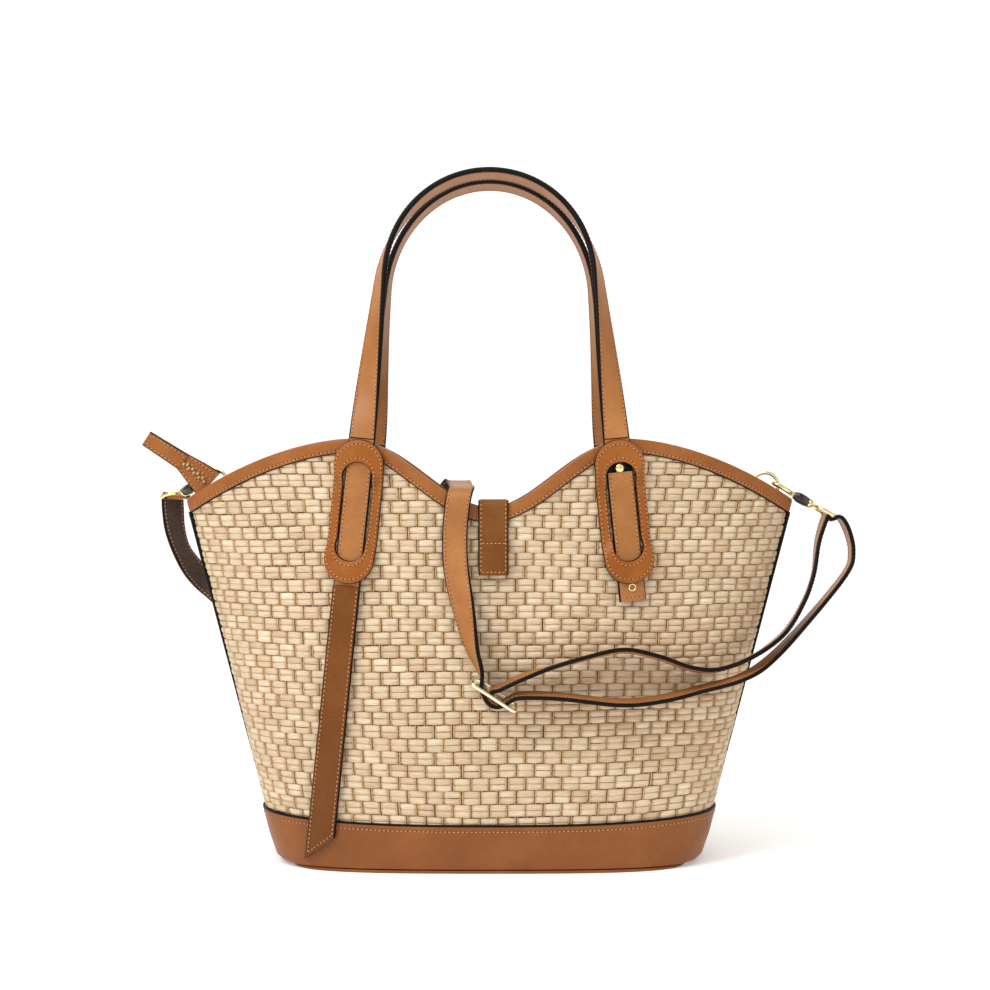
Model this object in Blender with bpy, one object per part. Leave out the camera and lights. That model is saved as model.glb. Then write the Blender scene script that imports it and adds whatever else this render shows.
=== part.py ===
"""Straw tote bag: woven panels, leather trim, two handles, closing tab, open zip and shoulder strap.

Metres, +Z up. The origin is the centre of the flat base, +X is the bag's right, and the front faces -Y.
Each sub-part is one object; a moving sub-part hangs from an empty on its joint's axis.
"""
import functools
import math

import bmesh
import bpy
import numpy as np
from mathutils import Matrix, Vector

# ---- overall sizes -------------------------------------------------------------------------------
BASE_WIDTH = 0.299
CORNER_WIDTH = 0.434
BASE_DEPTH = 0.124
RIM_DEPTH = 0.118
BELLY = 0.004                # how far each panel swells at mid height
FOOT_RADIUS = 0.011           # of the lower corners, as seen from the front
FOOT_BEND = 0.62              # share of that radius at which the panels have a row
CORNER_HEIGHT = 0.256        # top of the binding at the side seams
PEAK_HEIGHT = 0.298          # top of the binding where the handles stand
DIP_HEIGHT = 0.250           # top of the binding at the middle
PEAK_X = 0.095
WING_POWER = 1.75            # how the rim falls from the peaks to the corners
BASE_SQUARENESS = 3.2        # exponent of the plan curve at the base: a rounded rectangle
RIM_SQUARENESS = 2.1         # and at the rim, where the plan is an open lens
RIM_BLUNTNESS = 1.25

# ---- layers --------------------------------------------------------------------------------------
GAP = 0.0003                 # air between pieces that touch
SEAM_CLEARANCE = 0.0003      # each panel's distance to the seam plane
WEAVE_THICKNESS = 0.0024
PADDING = 0.0018             # room for the foam between straw and lining
LINING_THICKNESS = 0.0010
BAND_THICKNESS = 0.0018
BAND_HEIGHT = 0.0335
BAND_RISE = 0.006            # the band climbs this much towards the side seams
BINDING_THICKNESS = 0.0012
BINDING_DROP = 0.0085
SOLE_THICKNESS = 0.0020
BOARD_THICKNESS = 0.0020
WELT_WIDTH = 0.0026
WELT_THICKNESS = 0.0016
COLUMNS = 36
PANEL_STEPS = (0.0, 0.22, 0.44, 0.64, 0.80, 0.90, 0.96, 1.0)   # rows between band and rim

# ---- handles, their plates and the strap ends in them --------------------------------------------
STRAP_WIDTH = 0.0185
STRAP_THICKNESS = 0.0030
HANDLE_THICKNESS = 0.0034
TAG_X = 0.087                # where a plate's top stands on the rim
TAG_TILT = math.radians(5.7)
PLATE_LENGTH = 0.0995
PLATE_WIDTH = 0.0344
PLATE_THICKNESS = 0.0025
PLATE_SIDE_HEIGHT = 0.0010   # underside of a plate's long sides above the straw
SLOT_LENGTH = 0.068
SLOT_CLEARANCE = 0.00105     # each side of the strap in the slot
STRAP_END_LENGTH = 0.0117    # strap end that shows below a plate
HANDLE_HEIGHT = 0.189        # from the hinge to the top of the arch
HANDLE_LEAN = math.radians(10.0)
LEG_SLOPE = 0.10
ARCH_RISE = 0.085            # height of the half ellipse that the legs run into
STUD_RADIUS = 0.0032
EYELET_RADIUS = 0.0024

# ---- hanging tail, closing tab -------------------------------------------------------------------
TAIL_WIDTH = 0.0190
TAIL_LENGTH = 0.192
TAIL_SLANT = 0.0185
TAIL_THICKNESS = 0.0026
TAB_X = 0.0029
TAB_WIDTH = 0.0208
TAB_THICKNESS = 0.0026
TAB_DROP = 0.046             # how far the tab hangs below the rim at the front
TAB_PATCH_DROP = 0.034       # and its sewn patch at the rear
TAB_SLACK = 0.0007           # the tab's bend stands this far off the binding
TAB_BEND = 0.0034
MAGNET_RADIUS = 0.0065
MAGNET_THICKNESS = 0.0008

# ---- shoulder strap and metalwork ----------------------------------------------------------------
BELT_WIDTH = 0.0175
BELT_THICKNESS = 0.0028
RING_INSET = 0.0185          # ring's middle inside the side seam
RING_RADIUS = 0.0095
RING_WIRE = 0.0012
HOOK_WIRE = 0.0013
HOOK_REACH = 0.0063          # from the ring's wire to the tip of the hook's curl
BARREL_START = 0.0130
BARREL_END = 0.0280
BARREL_RADIUS = 0.0038
EYE_LENGTH = 0.0135
EYE_WIDTH = 0.0212
EYE_WIRE = 0.0012
BUCKLE_LENGTH = 0.0345
BUCKLE_WIDTH = 0.0206
BUCKLE_WIRE = 0.0011

# ---- zip -----------------------------------------------------------------------------------------
GUSSET_HEIGHT = 0.018
GUSSET_THICKNESS = 0.0012
GUSSET_BOTTOM = 0.216
CHAIN_WIDTH = 0.0050
CHAIN_THICKNESS = 0.0016
ZIP_STUB_LENGTH = 0.036
SLIDER_LENGTH = 0.0120
SLIDER_WALL = 0.0011
SLIDER_CLEARANCE = 0.0004
TONGUE_THICKNESS = 0.0026
END_TAB_THICKNESS = 0.0040

FRONT = 1
REAR = -1

COLOURS = {
    "straw": ((0.78, 0.62, 0.42), 0.75, 0.0),
    "tan_leather": ((0.42, 0.19, 0.08), 0.45, 0.0),
    "black_edge": ((0.012, 0.011, 0.012), 0.35, 0.0),
    "lining_fabric": ((0.45, 0.35, 0.24), 0.85, 0.0),
    "board": ((0.30, 0.24, 0.18), 0.80, 0.0),
    "pale_gold": ((0.83, 0.72, 0.42), 0.22, 1.0),
    "dark_steel": ((0.20, 0.20, 0.19), 0.30, 1.0),
    "zip_tape": ((0.20, 0.11, 0.06), 0.85, 0.0),
    "magnet_steel": ((0.55, 0.55, 0.55), 0.30, 1.0),
}


# ==================================================================================================
# small tools
# ==================================================================================================
def lerp(a, b, t):
    return a + (b - a) * t


def smoothstep(t):
    t = min(max(t, 0.0), 1.0)
    return t * t * (3.0 - 2.0 * t)


def clear_scene():
    for obj in list(bpy.data.objects):
        bpy.data.objects.remove(obj, do_unlink=True)


@functools.lru_cache(maxsize=None)
def material(slot):
    colour, roughness, metallic = COLOURS[slot]
    mat = bpy.data.materials.new(slot)
    mat.use_nodes = True
    shader = mat.node_tree.nodes["Principled BSDF"]
    shader.inputs["Base Color"].default_value = (*colour, 1.0)
    shader.inputs["Roughness"].default_value = roughness
    shader.inputs["Metallic"].default_value = metallic
    return mat


def joint_empty(name, place):
    empty = bpy.data.objects.new(name, None)
    empty.empty_display_size = 0.01
    empty.location = place
    bpy.context.scene.collection.objects.link(empty)
    return empty


def hang_from(obj, empty):
    """Parent an object whose mesh is in world coordinates, and move its origin to the joint."""
    obj.data.transform(Matrix.Translation(-empty.location))
    obj.parent = empty


def finish(name, bm, slot, pivot=None):
    bmesh.ops.remove_doubles(bm, verts=bm.verts, dist=1e-6)
    bmesh.ops.recalc_face_normals(bm, faces=bm.faces)
    mesh = bpy.data.meshes.new(name)
    bm.to_mesh(mesh)
    bm.free()
    obj = bpy.data.objects.new(name, mesh)
    bpy.context.scene.collection.objects.link(obj)
    mesh.materials.append(material(slot))
    if pivot is not None:
        hang_from(obj, pivot)
    return obj


def loft(loops, ring=False):
    """Closed body through a row of loops with equal point counts; a ring joins its last to its first."""
    bm = bmesh.new()
    rows = [[bm.verts.new(p) for p in loop] for loop in loops]
    pairs = list(zip(rows, rows[1:]))
    if ring:
        pairs.append((rows[-1], rows[0]))
    else:
        bm.faces.new(rows[0])
        bm.faces.new(rows[-1])
    for a, b in pairs:
        for k in range(len(a)):
            j = (k + 1) % len(a)
            bm.faces.new((a[k], a[j], b[j], b[k]))
    return bm


def trim(bm, point, outward):
    """Cut a body with a plane, drop what lies on the outward side and close the cut."""
    geometry = bm.verts[:] + bm.edges[:] + bm.faces[:]
    bmesh.ops.bisect_plane(bm, geom=geometry, dist=1e-7, plane_co=point, plane_no=outward,
                           clear_outer=True)
    bmesh.ops.holes_fill(bm, edges=[e for e in bm.edges if e.is_boundary])


def to_rear(bm):
    """Turn a front piece into its twin on the rear of the bag."""
    bmesh.ops.scale(bm, verts=bm.verts, vec=(1.0, -1.0, 1.0))
    bmesh.ops.reverse_faces(bm, faces=bm.faces)


def smooth_path(points, steps):
    """Catmull-Rom curve through the points, each a tuple of any length."""
    rows = [np.array(p, dtype=float) for p in points]
    rows = [2 * rows[0] - rows[1]] + rows + [2 * rows[-1] - rows[-2]]
    path = []
    for a, b, c, d in zip(rows, rows[1:], rows[2:], rows[3:]):
        for k in range(steps):
            t = k / steps
            path.append(0.5 * (2 * b + (c - a) * t + (2 * a - 5 * b + 4 * c - d) * t ** 2
                               + (3 * b - a - 3 * c + d) * t ** 3))
    path.append(rows[-2])
    return path


def ribbon(points, across, width, thickness):
    """Flat strap along the points; across gives the direction of its width at each point."""
    loops = []
    for i, point in enumerate(points):
        ahead = points[min(i + 1, len(points) - 1)] - points[max(i - 1, 0)]
        ahead.normalize()
        side = across[i] - ahead * across[i].dot(ahead)
        side.normalize()
        up = side.cross(ahead) * (thickness / 2)
        side = side * (width / 2)
        loops.append([point - side - up, point + side - up, point + side + up, point - side + up])
    return loft(loops)


def wire(name, points, radius, slot, pivot=None, cyclic=False):
    """Round wire along the points, with closed ends."""
    curve = bpy.data.curves.new(name, "CURVE")
    curve.dimensions = "3D"
    curve.bevel_depth = radius
    curve.bevel_resolution = 2
    curve.use_fill_caps = True
    spline = curve.splines.new("POLY")
    spline.points.add(len(points) - 1)
    spline.use_cyclic_u = cyclic
    for place, point in zip(spline.points, points):
        place.co = (*point, 1.0)
    obj = bpy.data.objects.new(name, curve)
    bpy.context.scene.collection.objects.link(obj)
    curve.materials.append(material(slot))
    if pivot is not None:
        hang_from(obj, pivot)
    return obj


def turned(name, profile, start, axis, slot, pivot=None, sides=16):
    """Body turned round an axis: the profile is (distance along, radius) with closed flat ends."""
    axis = Vector(axis).normalized()
    side = axis.orthogonal().normalized()
    up = axis.cross(side)
    loops = []
    for along, radius in profile:
        centre = Vector(start) + axis * along
        angles = [2 * math.pi * k / sides for k in range(sides)]
        loops.append([centre + (side * math.cos(a) + up * math.sin(a)) * radius for a in angles])
    return finish(name, loft(loops), slot, pivot)


# ==================================================================================================
# the wall that every panel, strap and plate lies on
# ==================================================================================================
def half_width(z):
    return lerp(BASE_WIDTH, CORNER_WIDTH, z / CORNER_HEIGHT) / 2


def half_depth(z):
    t = min(z / CORNER_HEIGHT, 1.0)
    return lerp(BASE_DEPTH, RIM_DEPTH, t) / 2 + BELLY * 4 * t * (1 - t)


def wall_depth(x, z):
    """Distance from the seam plane to the front of the straw."""
    t = smoothstep(z / CORNER_HEIGHT)
    p = lerp(BASE_SQUARENESS, RIM_SQUARENESS, t)
    q = lerp(BASE_SQUARENESS, RIM_BLUNTNESS, t)
    u = min(abs(x) / half_width(z), 1.0)
    return half_depth(z) * (1.0 - u ** p) ** (1.0 / q)


@functools.lru_cache(maxsize=None)
def plan_curve(z):
    """The front half of the plan at a height: x, y and the distance run, from left seam to right."""
    x = half_width(z) * np.sin(np.linspace(-math.pi / 2, math.pi / 2, 241))
    y = np.array([-wall_depth(value, z) for value in x])
    run = np.concatenate([[0.0], np.cumsum(np.hypot(np.diff(x), np.diff(y)))])
    return x, y, run


def round_foot(x, z):
    """Draws the ends of the base in near the floor, so that its lower corners are round."""
    near = max(1 - z / FOOT_RADIUS, 0.0)
    inset = FOOT_RADIUS * (1 - math.sqrt(1 - near ** 2))
    return x * (1 - inset / half_width(z) * abs(x / half_width(z)) ** 6)


def wall(s, z, height=0.0):
    """Point of the front wall: s runs 0 to 1 between the seams, height stands out of the straw."""
    x, y, run = plan_curve(round(z, 7))
    s = min(max(s, 0.0), 1.0)
    near = [min(max(s + step, 0.0), 1.0) * run[-1] for step in (-0.004, 0.0, 0.004)]
    px = np.interp(near, run, x)
    py = np.interp(near, run, y)
    along = Vector((px[2] - px[0], py[2] - py[0])).normalized()
    return Vector((round_foot(px[1] + along.y * height, z), py[1] - along.x * height, z))


def lay(x, z, height=0.0):
    """Point of the front wall by its x: for pieces that lie well inside the seams."""
    step = 0.001
    slope = (wall_depth(x - step, z) - wall_depth(x + step, z)) / (2 * step)
    out = Vector((slope, -1.0)).normalized()
    return Vector((x + out.x * height, -wall_depth(x, z) + out.y * height, z))


def rim_height(x):
    """Top of the binding."""
    x = abs(x)
    if x < PEAK_X:
        return lerp(DIP_HEIGHT, PEAK_HEIGHT, smoothstep(x / PEAK_X))
    t = (x - PEAK_X) / (CORNER_WIDTH / 2 - PEAK_X)
    return lerp(PEAK_HEIGHT, CORNER_HEIGHT, t ** WING_POWER)


@functools.lru_cache(maxsize=None)
def rim(s):
    """Height of the straw's top edge at s, just under the binding's fold."""
    z = CORNER_HEIGHT
    for _ in range(12):
        z = rim_height(wall(s, z).x) - BINDING_THICKNESS - GAP
    return z


def band_top(s):
    x = wall(s, BAND_HEIGHT).x
    return BAND_HEIGHT + BAND_RISE * abs(x / half_width(BAND_HEIGHT)) ** 2.5


def column_stations():
    """Even steps from seam to seam, a little closer together towards the rounded sides."""
    steps = [k / COLUMNS for k in range(COLUMNS + 1)]
    return [0.6 * t + 0.2 * (1 - math.cos(math.pi * t)) for t in steps]


def levels(s, foot):
    """Heights of a panel's rows: four up to the band's top, then closer and closer to the rim."""
    band = band_top(s)
    low = [foot, FOOT_BEND * FOOT_RADIUS, FOOT_RADIUS, lerp(FOOT_RADIUS, band, 0.5)]
    return low + [lerp(band, rim(s), step) for step in PANEL_STEPS]


def wall_layer(name, side, foot, rows, outer, inner, slot):
    """Closed sheet over some rows of the panel, between two distances from the straw's face."""
    loops = []
    for s in column_stations():
        heights = levels(s, foot)[:rows + 1]
        face = [wall(s, z, outer) for z in heights]
        back = [wall(s, z, inner) for z in reversed(heights)]
        loops.append(face + back)
    bm = loft(loops)
    trim(bm, (0, -SEAM_CLEARANCE, 0), (0, 1, 0))
    if side == REAR:
        to_rear(bm)
    return finish(name, bm, slot)


def floor_layer(name, bottom, thickness, reach, slot):
    """Flat plate with the plan of the base, pushed out or in by reach."""
    loops = []
    for z in (bottom, bottom + thickness):
        front = [wall(s, 0.0, reach) for s in column_stations()]
        rear = [Vector((p.x, -p.y, 0.0)) for p in reversed(front)]
        loops.append([Vector((p.x, p.y, z)) for p in front[1:-1] + rear[1:-1]])
    return finish(name, loft(loops), slot)


BAND_FOOT = SOLE_THICKNESS + GAP
BOARD_TOP = BAND_FOOT + BOARD_THICKNESS
FLOOR_TOP = BOARD_TOP + GAP + LINING_THICKNESS
BAND_OUTER = GAP + BAND_THICKNESS
LINING_OUTER = -(WEAVE_THICKNESS + PADDING)
LINING_INNER = LINING_OUTER - LINING_THICKNESS


def make_body():
    for side, word in ((FRONT, "front"), (REAR, "rear")):
        full = len(PANEL_STEPS) + 3
        wall_layer(word + "_panel", side, BAND_FOOT, full, 0.0, -WEAVE_THICKNESS, "straw")
        wall_layer("lining_" + word, side, FLOOR_TOP + GAP, full, LINING_OUTER, LINING_INNER,
                   "lining_fabric")
        wall_layer("base_band_" + word, side, BAND_FOOT, 4, BAND_OUTER, GAP, "tan_leather")
        make_binding("rim_binding_" + word, side)
    floor_layer("base_sole", 0.0, SOLE_THICKNESS, BAND_OUTER, "tan_leather")
    inside = -(WEAVE_THICKNESS + GAP)
    floor_layer("base_board", BAND_FOOT, BOARD_THICKNESS, inside, "board")
    floor_layer("lining_floor", BOARD_TOP + GAP, LINING_THICKNESS, inside, "lining_fabric")
    for side, word in ((-1, "left"), (1, "right")):
        make_welt("side_welt_" + word, side)


def make_binding(name, side):
    """Leather strip folded over the rim, seen in section as an upturned U."""
    top = -(GAP + BINDING_THICKNESS)
    face, back = GAP + BINDING_THICKNESS, LINING_INNER - GAP - BINDING_THICKNESS
    section = [(face, BINDING_DROP), (face, top), (back, top), (back, BINDING_DROP),
               (LINING_INNER - GAP, BINDING_DROP), (LINING_INNER - GAP, -GAP), (GAP, -GAP),
               (GAP, BINDING_DROP)]
    step = 0.01
    loops = []
    for s in column_stations():
        z = rim(s)
        run = plan_curve(round(z, 7))[2][-1]
        before, after = max(s - step, 0.0), min(s + step, 1.0)
        slope = (rim(after) - rim(before)) / ((after - before) * run)
        steep = math.hypot(1.0, slope)
        loops.append([wall(s + drop * slope / steep / run, z - drop / steep, height)
                      for height, drop in section])
    bm = loft(loops)
    trim(bm, (0, -SEAM_CLEARANCE, 0), (0, 1, 0))
    if side == REAR:
        to_rear(bm)
    return finish(name, bm, "tan_leather")


def make_welt(name, side):
    """Thin piping that covers a side seam from the band to the binding."""
    low = BAND_HEIGHT + BAND_RISE + GAP
    high = CORNER_HEIGHT - BINDING_DROP - 2 * BINDING_THICKNESS
    stand = GAP + WELT_THICKNESS / 2
    rows = 6
    heights = [lerp(low, high, k / rows) for k in range(rows + 1)]
    points = [Vector((side * (half_width(z) + stand), 0.0, z)) for z in heights]
    across = [Vector((0, 1, 0))] * len(points)
    return finish(name, ribbon(points, across, WELT_WIDTH, WELT_THICKNESS), "black_edge")


# ==================================================================================================
# handle plates, strap ends, tail and handles
# ==================================================================================================
STRAP_HEIGHT = 2 * GAP + BINDING_THICKNESS           # a strap end's underside above the straw
PLATE_END_HEIGHT = STRAP_HEIGHT + STRAP_THICKNESS + GAP
PLATE_FACE = PLATE_END_HEIGHT + PLATE_THICKNESS
SLOT_RADIUS = STRAP_WIDTH / 2 + SLOT_CLEARANCE
SLOT_TOP = (PLATE_LENGTH - SLOT_LENGTH) / 2
STRAP_MIDDLE = STRAP_HEIGHT + STRAP_THICKNESS / 2


def tag(side, out, down, height, face=FRONT):
    """Point by a plate's own axes: out from its middle line, down from its top."""
    x = TAG_X + down * math.sin(TAG_TILT) + out * math.cos(TAG_TILT)
    z = rim_height(TAG_X) - down * math.cos(TAG_TILT) + out * math.sin(TAG_TILT)
    point = lay(side * x, z, height)
    return Vector((point.x, face * point.y, point.z))


def laid_strap(side, face, downs, width, low, thickness, end_slant=0.0, columns=4):
    """Strap that lies on the wall along a plate's middle line; its last edge may be slanted."""
    loops = []
    for i, down in enumerate(downs):
        slant = end_slant if i == len(downs) - 1 else 0.0
        outs = [width * (k / columns - 0.5) for k in range(columns + 1)]
        rows = [(out, down - slant * (0.5 - out / width)) for out in outs]
        loops.append([tag(side, out, d, low, face) for out, d in rows]
                     + [tag(side, out, d, low + thickness, face) for out, d in reversed(rows)])
    return loft(loops)


def plate_height(down):
    """Underside of a plate: low along its sides, raised where the strap passes behind it."""
    from_end = min(down, PLATE_LENGTH - down)
    slot_centre = SLOT_TOP + SLOT_RADIUS
    ramp = smoothstep((from_end - slot_centre + 0.004) / 0.0085)
    return lerp(PLATE_END_HEIGHT, PLATE_SIDE_HEIGHT, ramp)


def plate_outline(radius, first, last):
    """Stations round an oblong, clockwise from its right side: (out, down)."""
    arc = 8
    upper, lower = first + radius, last - radius
    points = [(radius * math.cos(math.pi * k / arc), upper - radius * math.sin(math.pi * k / arc))
              for k in range(arc + 1)]
    ramp_end = SLOT_TOP + SLOT_RADIUS + 0.0048
    sides = [ramp_end, PLATE_LENGTH / 2, PLATE_LENGTH - ramp_end]
    points += [(-radius, down) for down in sides]
    points += [(-radius * math.cos(math.pi * k / arc), lower + radius * math.sin(math.pi * k / arc))
               for k in range(arc + 1)]
    points += [(radius, down) for down in reversed(sides)]
    return points


def make_plate(name, side, face):
    outer = plate_outline(PLATE_WIDTH / 2, 0.0, PLATE_LENGTH)
    inner = plate_outline(SLOT_RADIUS, SLOT_TOP, PLATE_LENGTH - SLOT_TOP)
    loops = []
    for (out_a, down_a), (out_b, down_b) in zip(outer, inner):
        low_a, low_b = plate_height(down_a), plate_height(down_b)
        loops.append([tag(side, out_a, down_a, low_a, face),
                      tag(side, out_a, down_a, low_a + PLATE_THICKNESS, face),
                      tag(side, out_b, down_b, low_b + PLATE_THICKNESS, face),
                      tag(side, out_b, down_b, low_b, face)])
    return finish(name, loft(loops, ring=True), "tan_leather")


def make_strap_end(name, side, face, last):
    first = 0.0004
    downs = [lerp(first, last, k / 8) for k in range(9)]
    bm = laid_strap(side, face, downs, STRAP_WIDTH, STRAP_HEIGHT, STRAP_THICKNESS, columns=2)
    return finish(name, bm, "tan_leather")


def make_stud(name, side, face):
    """Domed rivet at the top of a slot, on the strap."""
    base = tag(side, 0.0, SLOT_TOP + STUD_RADIUS + 0.0006, STRAP_HEIGHT + STRAP_THICKNESS + GAP, face)
    tip = tag(side, 0.0, SLOT_TOP + STUD_RADIUS + 0.0006, STRAP_HEIGHT + STRAP_THICKNESS + 0.003, face)
    dome = [(0.0, 1.0), (0.35, 0.97), (0.7, 0.75), (0.95, 0.35)]
    profile = [(STUD_RADIUS * 0.6 * along, STUD_RADIUS * radius) for along, radius in dome]
    turned(name, profile, base, tip - base, "pale_gold", sides=12)


def make_eyelet(name, side, face):
    """Small metal eyelet on the strap end just below a plate."""
    top = STRAP_HEIGHT + STRAP_THICKNESS + GAP
    centre = tag(side, 0.0, PLATE_LENGTH + EYELET_RADIUS + 0.0012, top + 0.0006, face)
    outward = (tag(side, 0.0, PLATE_LENGTH, top + 0.002, face)
               - tag(side, 0.0, PLATE_LENGTH, top, face)).normalized()
    across = outward.orthogonal().normalized()
    up = outward.cross(across)
    angles = [2 * math.pi * k / 14 for k in range(14)]
    points = [centre + (across * math.cos(a) + up * math.sin(a)) * EYELET_RADIUS for a in angles]
    wire(name, points, 0.0005, "pale_gold", cyclic=True)


def make_tags():
    for face, row in ((FRONT, "front"), (REAR, "rear")):
        for side, word in ((-1, "left"), (1, "right")):
            place = row + "_" + word
            carries_tail = face == FRONT and side == -1
            last = PLATE_LENGTH - 0.0004 if carries_tail else PLATE_LENGTH + STRAP_END_LENGTH
            make_plate("handle_plate_" + place, side, face)
            make_strap_end("handle_strap_end_" + place, side, face, last)
            if not carries_tail:
                make_stud("stud_" + place, side, face)
                make_eyelet("eyelet_" + place, side, face)


TAIL_HINGE_DOWN = PLATE_LENGTH + 0.0016
TAIL_LOW = BAND_OUTER + 2 * GAP


def make_tail():
    """Long pointed strap end that hangs from the front left plate."""
    left = tag(-1, TAIL_WIDTH / 2, TAIL_HINGE_DOWN, TAIL_LOW + TAIL_THICKNESS / 2)
    right = tag(-1, -TAIL_WIDTH / 2, TAIL_HINGE_DOWN, TAIL_LOW + TAIL_THICKNESS / 2)
    pivot = joint_empty("tail_hinge", (left + right) / 2)
    last = PLATE_LENGTH + TAIL_LENGTH
    downs = [lerp(TAIL_HINGE_DOWN, last - TAIL_SLANT, k / 10) for k in range(11)] + [last]
    bm = laid_strap(-1, FRONT, downs, TAIL_WIDTH, TAIL_LOW, TAIL_THICKNESS, end_slant=TAIL_SLANT)
    finish("strap_tail", bm, "tan_leather", pivot)


def handle_geometry():
    """The front handle's hinge point, its foot, and the half ellipse that crowns it."""
    hinge = tag(1, 0.0, -0.0005, PLATE_FACE)
    foot = tag(1, 0.0, -0.0009, STRAP_MIDDLE)
    top = hinge.z + HANDLE_HEIGHT
    spring = top - ARCH_RISE
    line = foot.x - LEG_SLOPE * (spring - foot.z)
    span = math.sqrt(line ** 2 - (LEG_SLOPE * ARCH_RISE) ** 2)
    return hinge, foot, spring, span


def handle_outline():
    """Right half of the handle's middle line in its own plane, (x, z) from the foot to the top."""
    _, foot, spring, span = handle_geometry()
    start = math.atan(LEG_SLOPE * ARCH_RISE / span)
    arc = 12
    angles = [lerp(start, math.pi / 2, k / arc) for k in range(arc + 1)]
    crown = [(span * math.cos(a), spring + ARCH_RISE * math.sin(a)) for a in angles]
    legs = 4
    leg = [(lerp(foot.x, crown[0][0], k / legs), lerp(foot.z, crown[0][1], k / legs))
           for k in range(legs)]
    return leg + crown


def make_handle(name, face):
    """Flat strap that stands face-on at the rim and turns edge-on round the arch."""
    hinge, foot, _, _ = handle_geometry()
    half = handle_outline()
    run = [0.0]
    for (xa, za), (xb, zb) in zip(half, half[1:]):
        run.append(run[-1] + math.hypot(xb - xa, zb - za))
    points, across = [], []
    for side in (1, -1):
        stations = list(zip(half, run))
        if side == -1:
            stations = stations[-2::-1]
        for (x, z), done in stations:
            turn = math.pi / 2 * (1 - (1 - done / run[-1]) ** 2)
            centre = Vector((side * x, foot.y + (z - foot.z) * math.tan(HANDLE_LEAN), z))
            slope = leg_direction(half, run, done)
            inward = Vector((-side * slope[1], 0.0, slope[0] * -1.0))
            points.append(centre)
            across.append(inward * math.cos(turn) + Vector((0, -1, 0)) * math.sin(turn))
    bm = ribbon(points, across, STRAP_WIDTH, HANDLE_THICKNESS)
    pivot = joint_empty(name + "_hinge", (0.0, face * hinge.y, hinge.z))
    if face == REAR:
        to_rear(bm)
    finish(name, bm, "tan_leather", pivot)


def leg_direction(half, run, done):
    """Unit direction (x, z) of the half outline at a distance run."""
    step = run[-1] / 200
    xs, zs = [p[0] for p in half], [p[1] for p in half]
    dx = np.interp(done + step, run, xs) - np.interp(done - step, run, xs)
    dz = np.interp(done + step, run, zs) - np.interp(done - step, run, zs)
    length = math.hypot(dx, dz)
    return dx / length, dz / length


# ==================================================================================================
# closing tab
# ==================================================================================================
def tab_level():
    """Middle of the tab's thickness where it lies on the rims."""
    edges = (TAB_X - TAB_WIDTH / 2, TAB_X + TAB_WIDTH / 2)
    return max(rim_height(x) for x in edges) + TAB_SLACK + TAB_THICKNESS / 2


def tab_stand():
    """Middle of the tab's thickness in front of the binding."""
    face = wall_depth(TAB_X, DIP_HEIGHT) + GAP + BINDING_THICKNESS
    return face + TAB_SLACK + TAB_THICKNESS / 2


def make_tab():
    level, stand = tab_level(), tab_stand()
    bend = TAB_BEND
    pivot = joint_empty("tab_hinge", (TAB_X, stand, level))
    corner = [(-stand + bend * (1 - math.sin(a)), level - bend * (1 - math.cos(a)))
              for a in (0.0, math.pi / 8, math.pi / 4, 3 * math.pi / 8, math.pi / 2)]
    low = DIP_HEIGHT - TAB_DROP
    route = [(stand, level), (stand / 2, level), (0.0, level), (-stand / 2, level)] + corner
    belly = half_depth(low) - half_depth(DIP_HEIGHT)
    route += [(-stand - belly * 0.6, lerp(level, low, 0.55)), (-stand - belly, low)]
    points = [Vector((TAB_X, y, z)) for y, z in route]
    across = [Vector((1, 0, 0))] * len(points)
    finish("closure_tab", ribbon(points, across, TAB_WIDTH, TAB_THICKNESS), "tan_leather", pivot)
    make_tab_patch(level)
    make_magnet(low)


def make_tab_patch(level):
    """The tab's root, sewn flat to the rear panel under the hinge."""
    top = level - TAB_THICKNESS / 2 - 2 * GAP
    low = DIP_HEIGHT - TAB_PATCH_DROP
    heights = [lerp(low, top, k / 3) for k in range(4)]
    stand = 2 * GAP + BINDING_THICKNESS + TAB_THICKNESS / 2
    points = [Vector((TAB_X, -lay(TAB_X, z, stand).y, z)) for z in heights]
    across = [Vector((1, 0, 0))] * len(points)
    finish("closure_tab_patch", ribbon(points, across, TAB_WIDTH, TAB_THICKNESS), "tan_leather")


def make_magnet(low):
    """Hidden steel disc between straw and lining, opposite the tab's end."""
    z = low + MAGNET_RADIUS + 0.003
    base = lay(TAB_X, z, -(WEAVE_THICKNESS + PADDING / 2 - MAGNET_THICKNESS / 2))
    profile = [(0.0, MAGNET_RADIUS), (MAGNET_THICKNESS, MAGNET_RADIUS)]
    turned("panel_magnet", profile, base, (0, 1, 0), "magnet_steel")


# ==================================================================================================
# shoulder strap, rings and hooks
# ==================================================================================================
class Hook:
    """Place and direction of one swivel hook, from the ring that it holds to the strap."""

    def __init__(self, word, side, ring_rise, lean):
        self.word = word
        self.side = side
        x = side * (CORNER_WIDTH / 2 - RING_INSET)
        self.ring_centre = Vector((x, 0.0, rim_height(x) + ring_rise))
        self.axis = Vector((side * lean[0], lean[1], lean[2])).normalized()
        flat = Vector((self.axis.y, -self.axis.x, 0.0)).normalized()
        self.flat = flat if flat.y > 0 else -flat
        self.grip = self.ring_centre + Vector((side * RING_RADIUS, 0.0, 0.0))

    def at(self, along, across=0.0):
        return self.grip + self.axis * along + self.flat * across


LEFT_HOOK = Hook("left", -1, 0.0015, (0.58, 0.76, -0.25))
RIGHT_HOOK = Hook("right", 1, -0.0010, (0.87, 0.02, -0.49))
HOOKS = (LEFT_HOOK, RIGHT_HOOK)
CLAW_GAP = 0.0008


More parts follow.
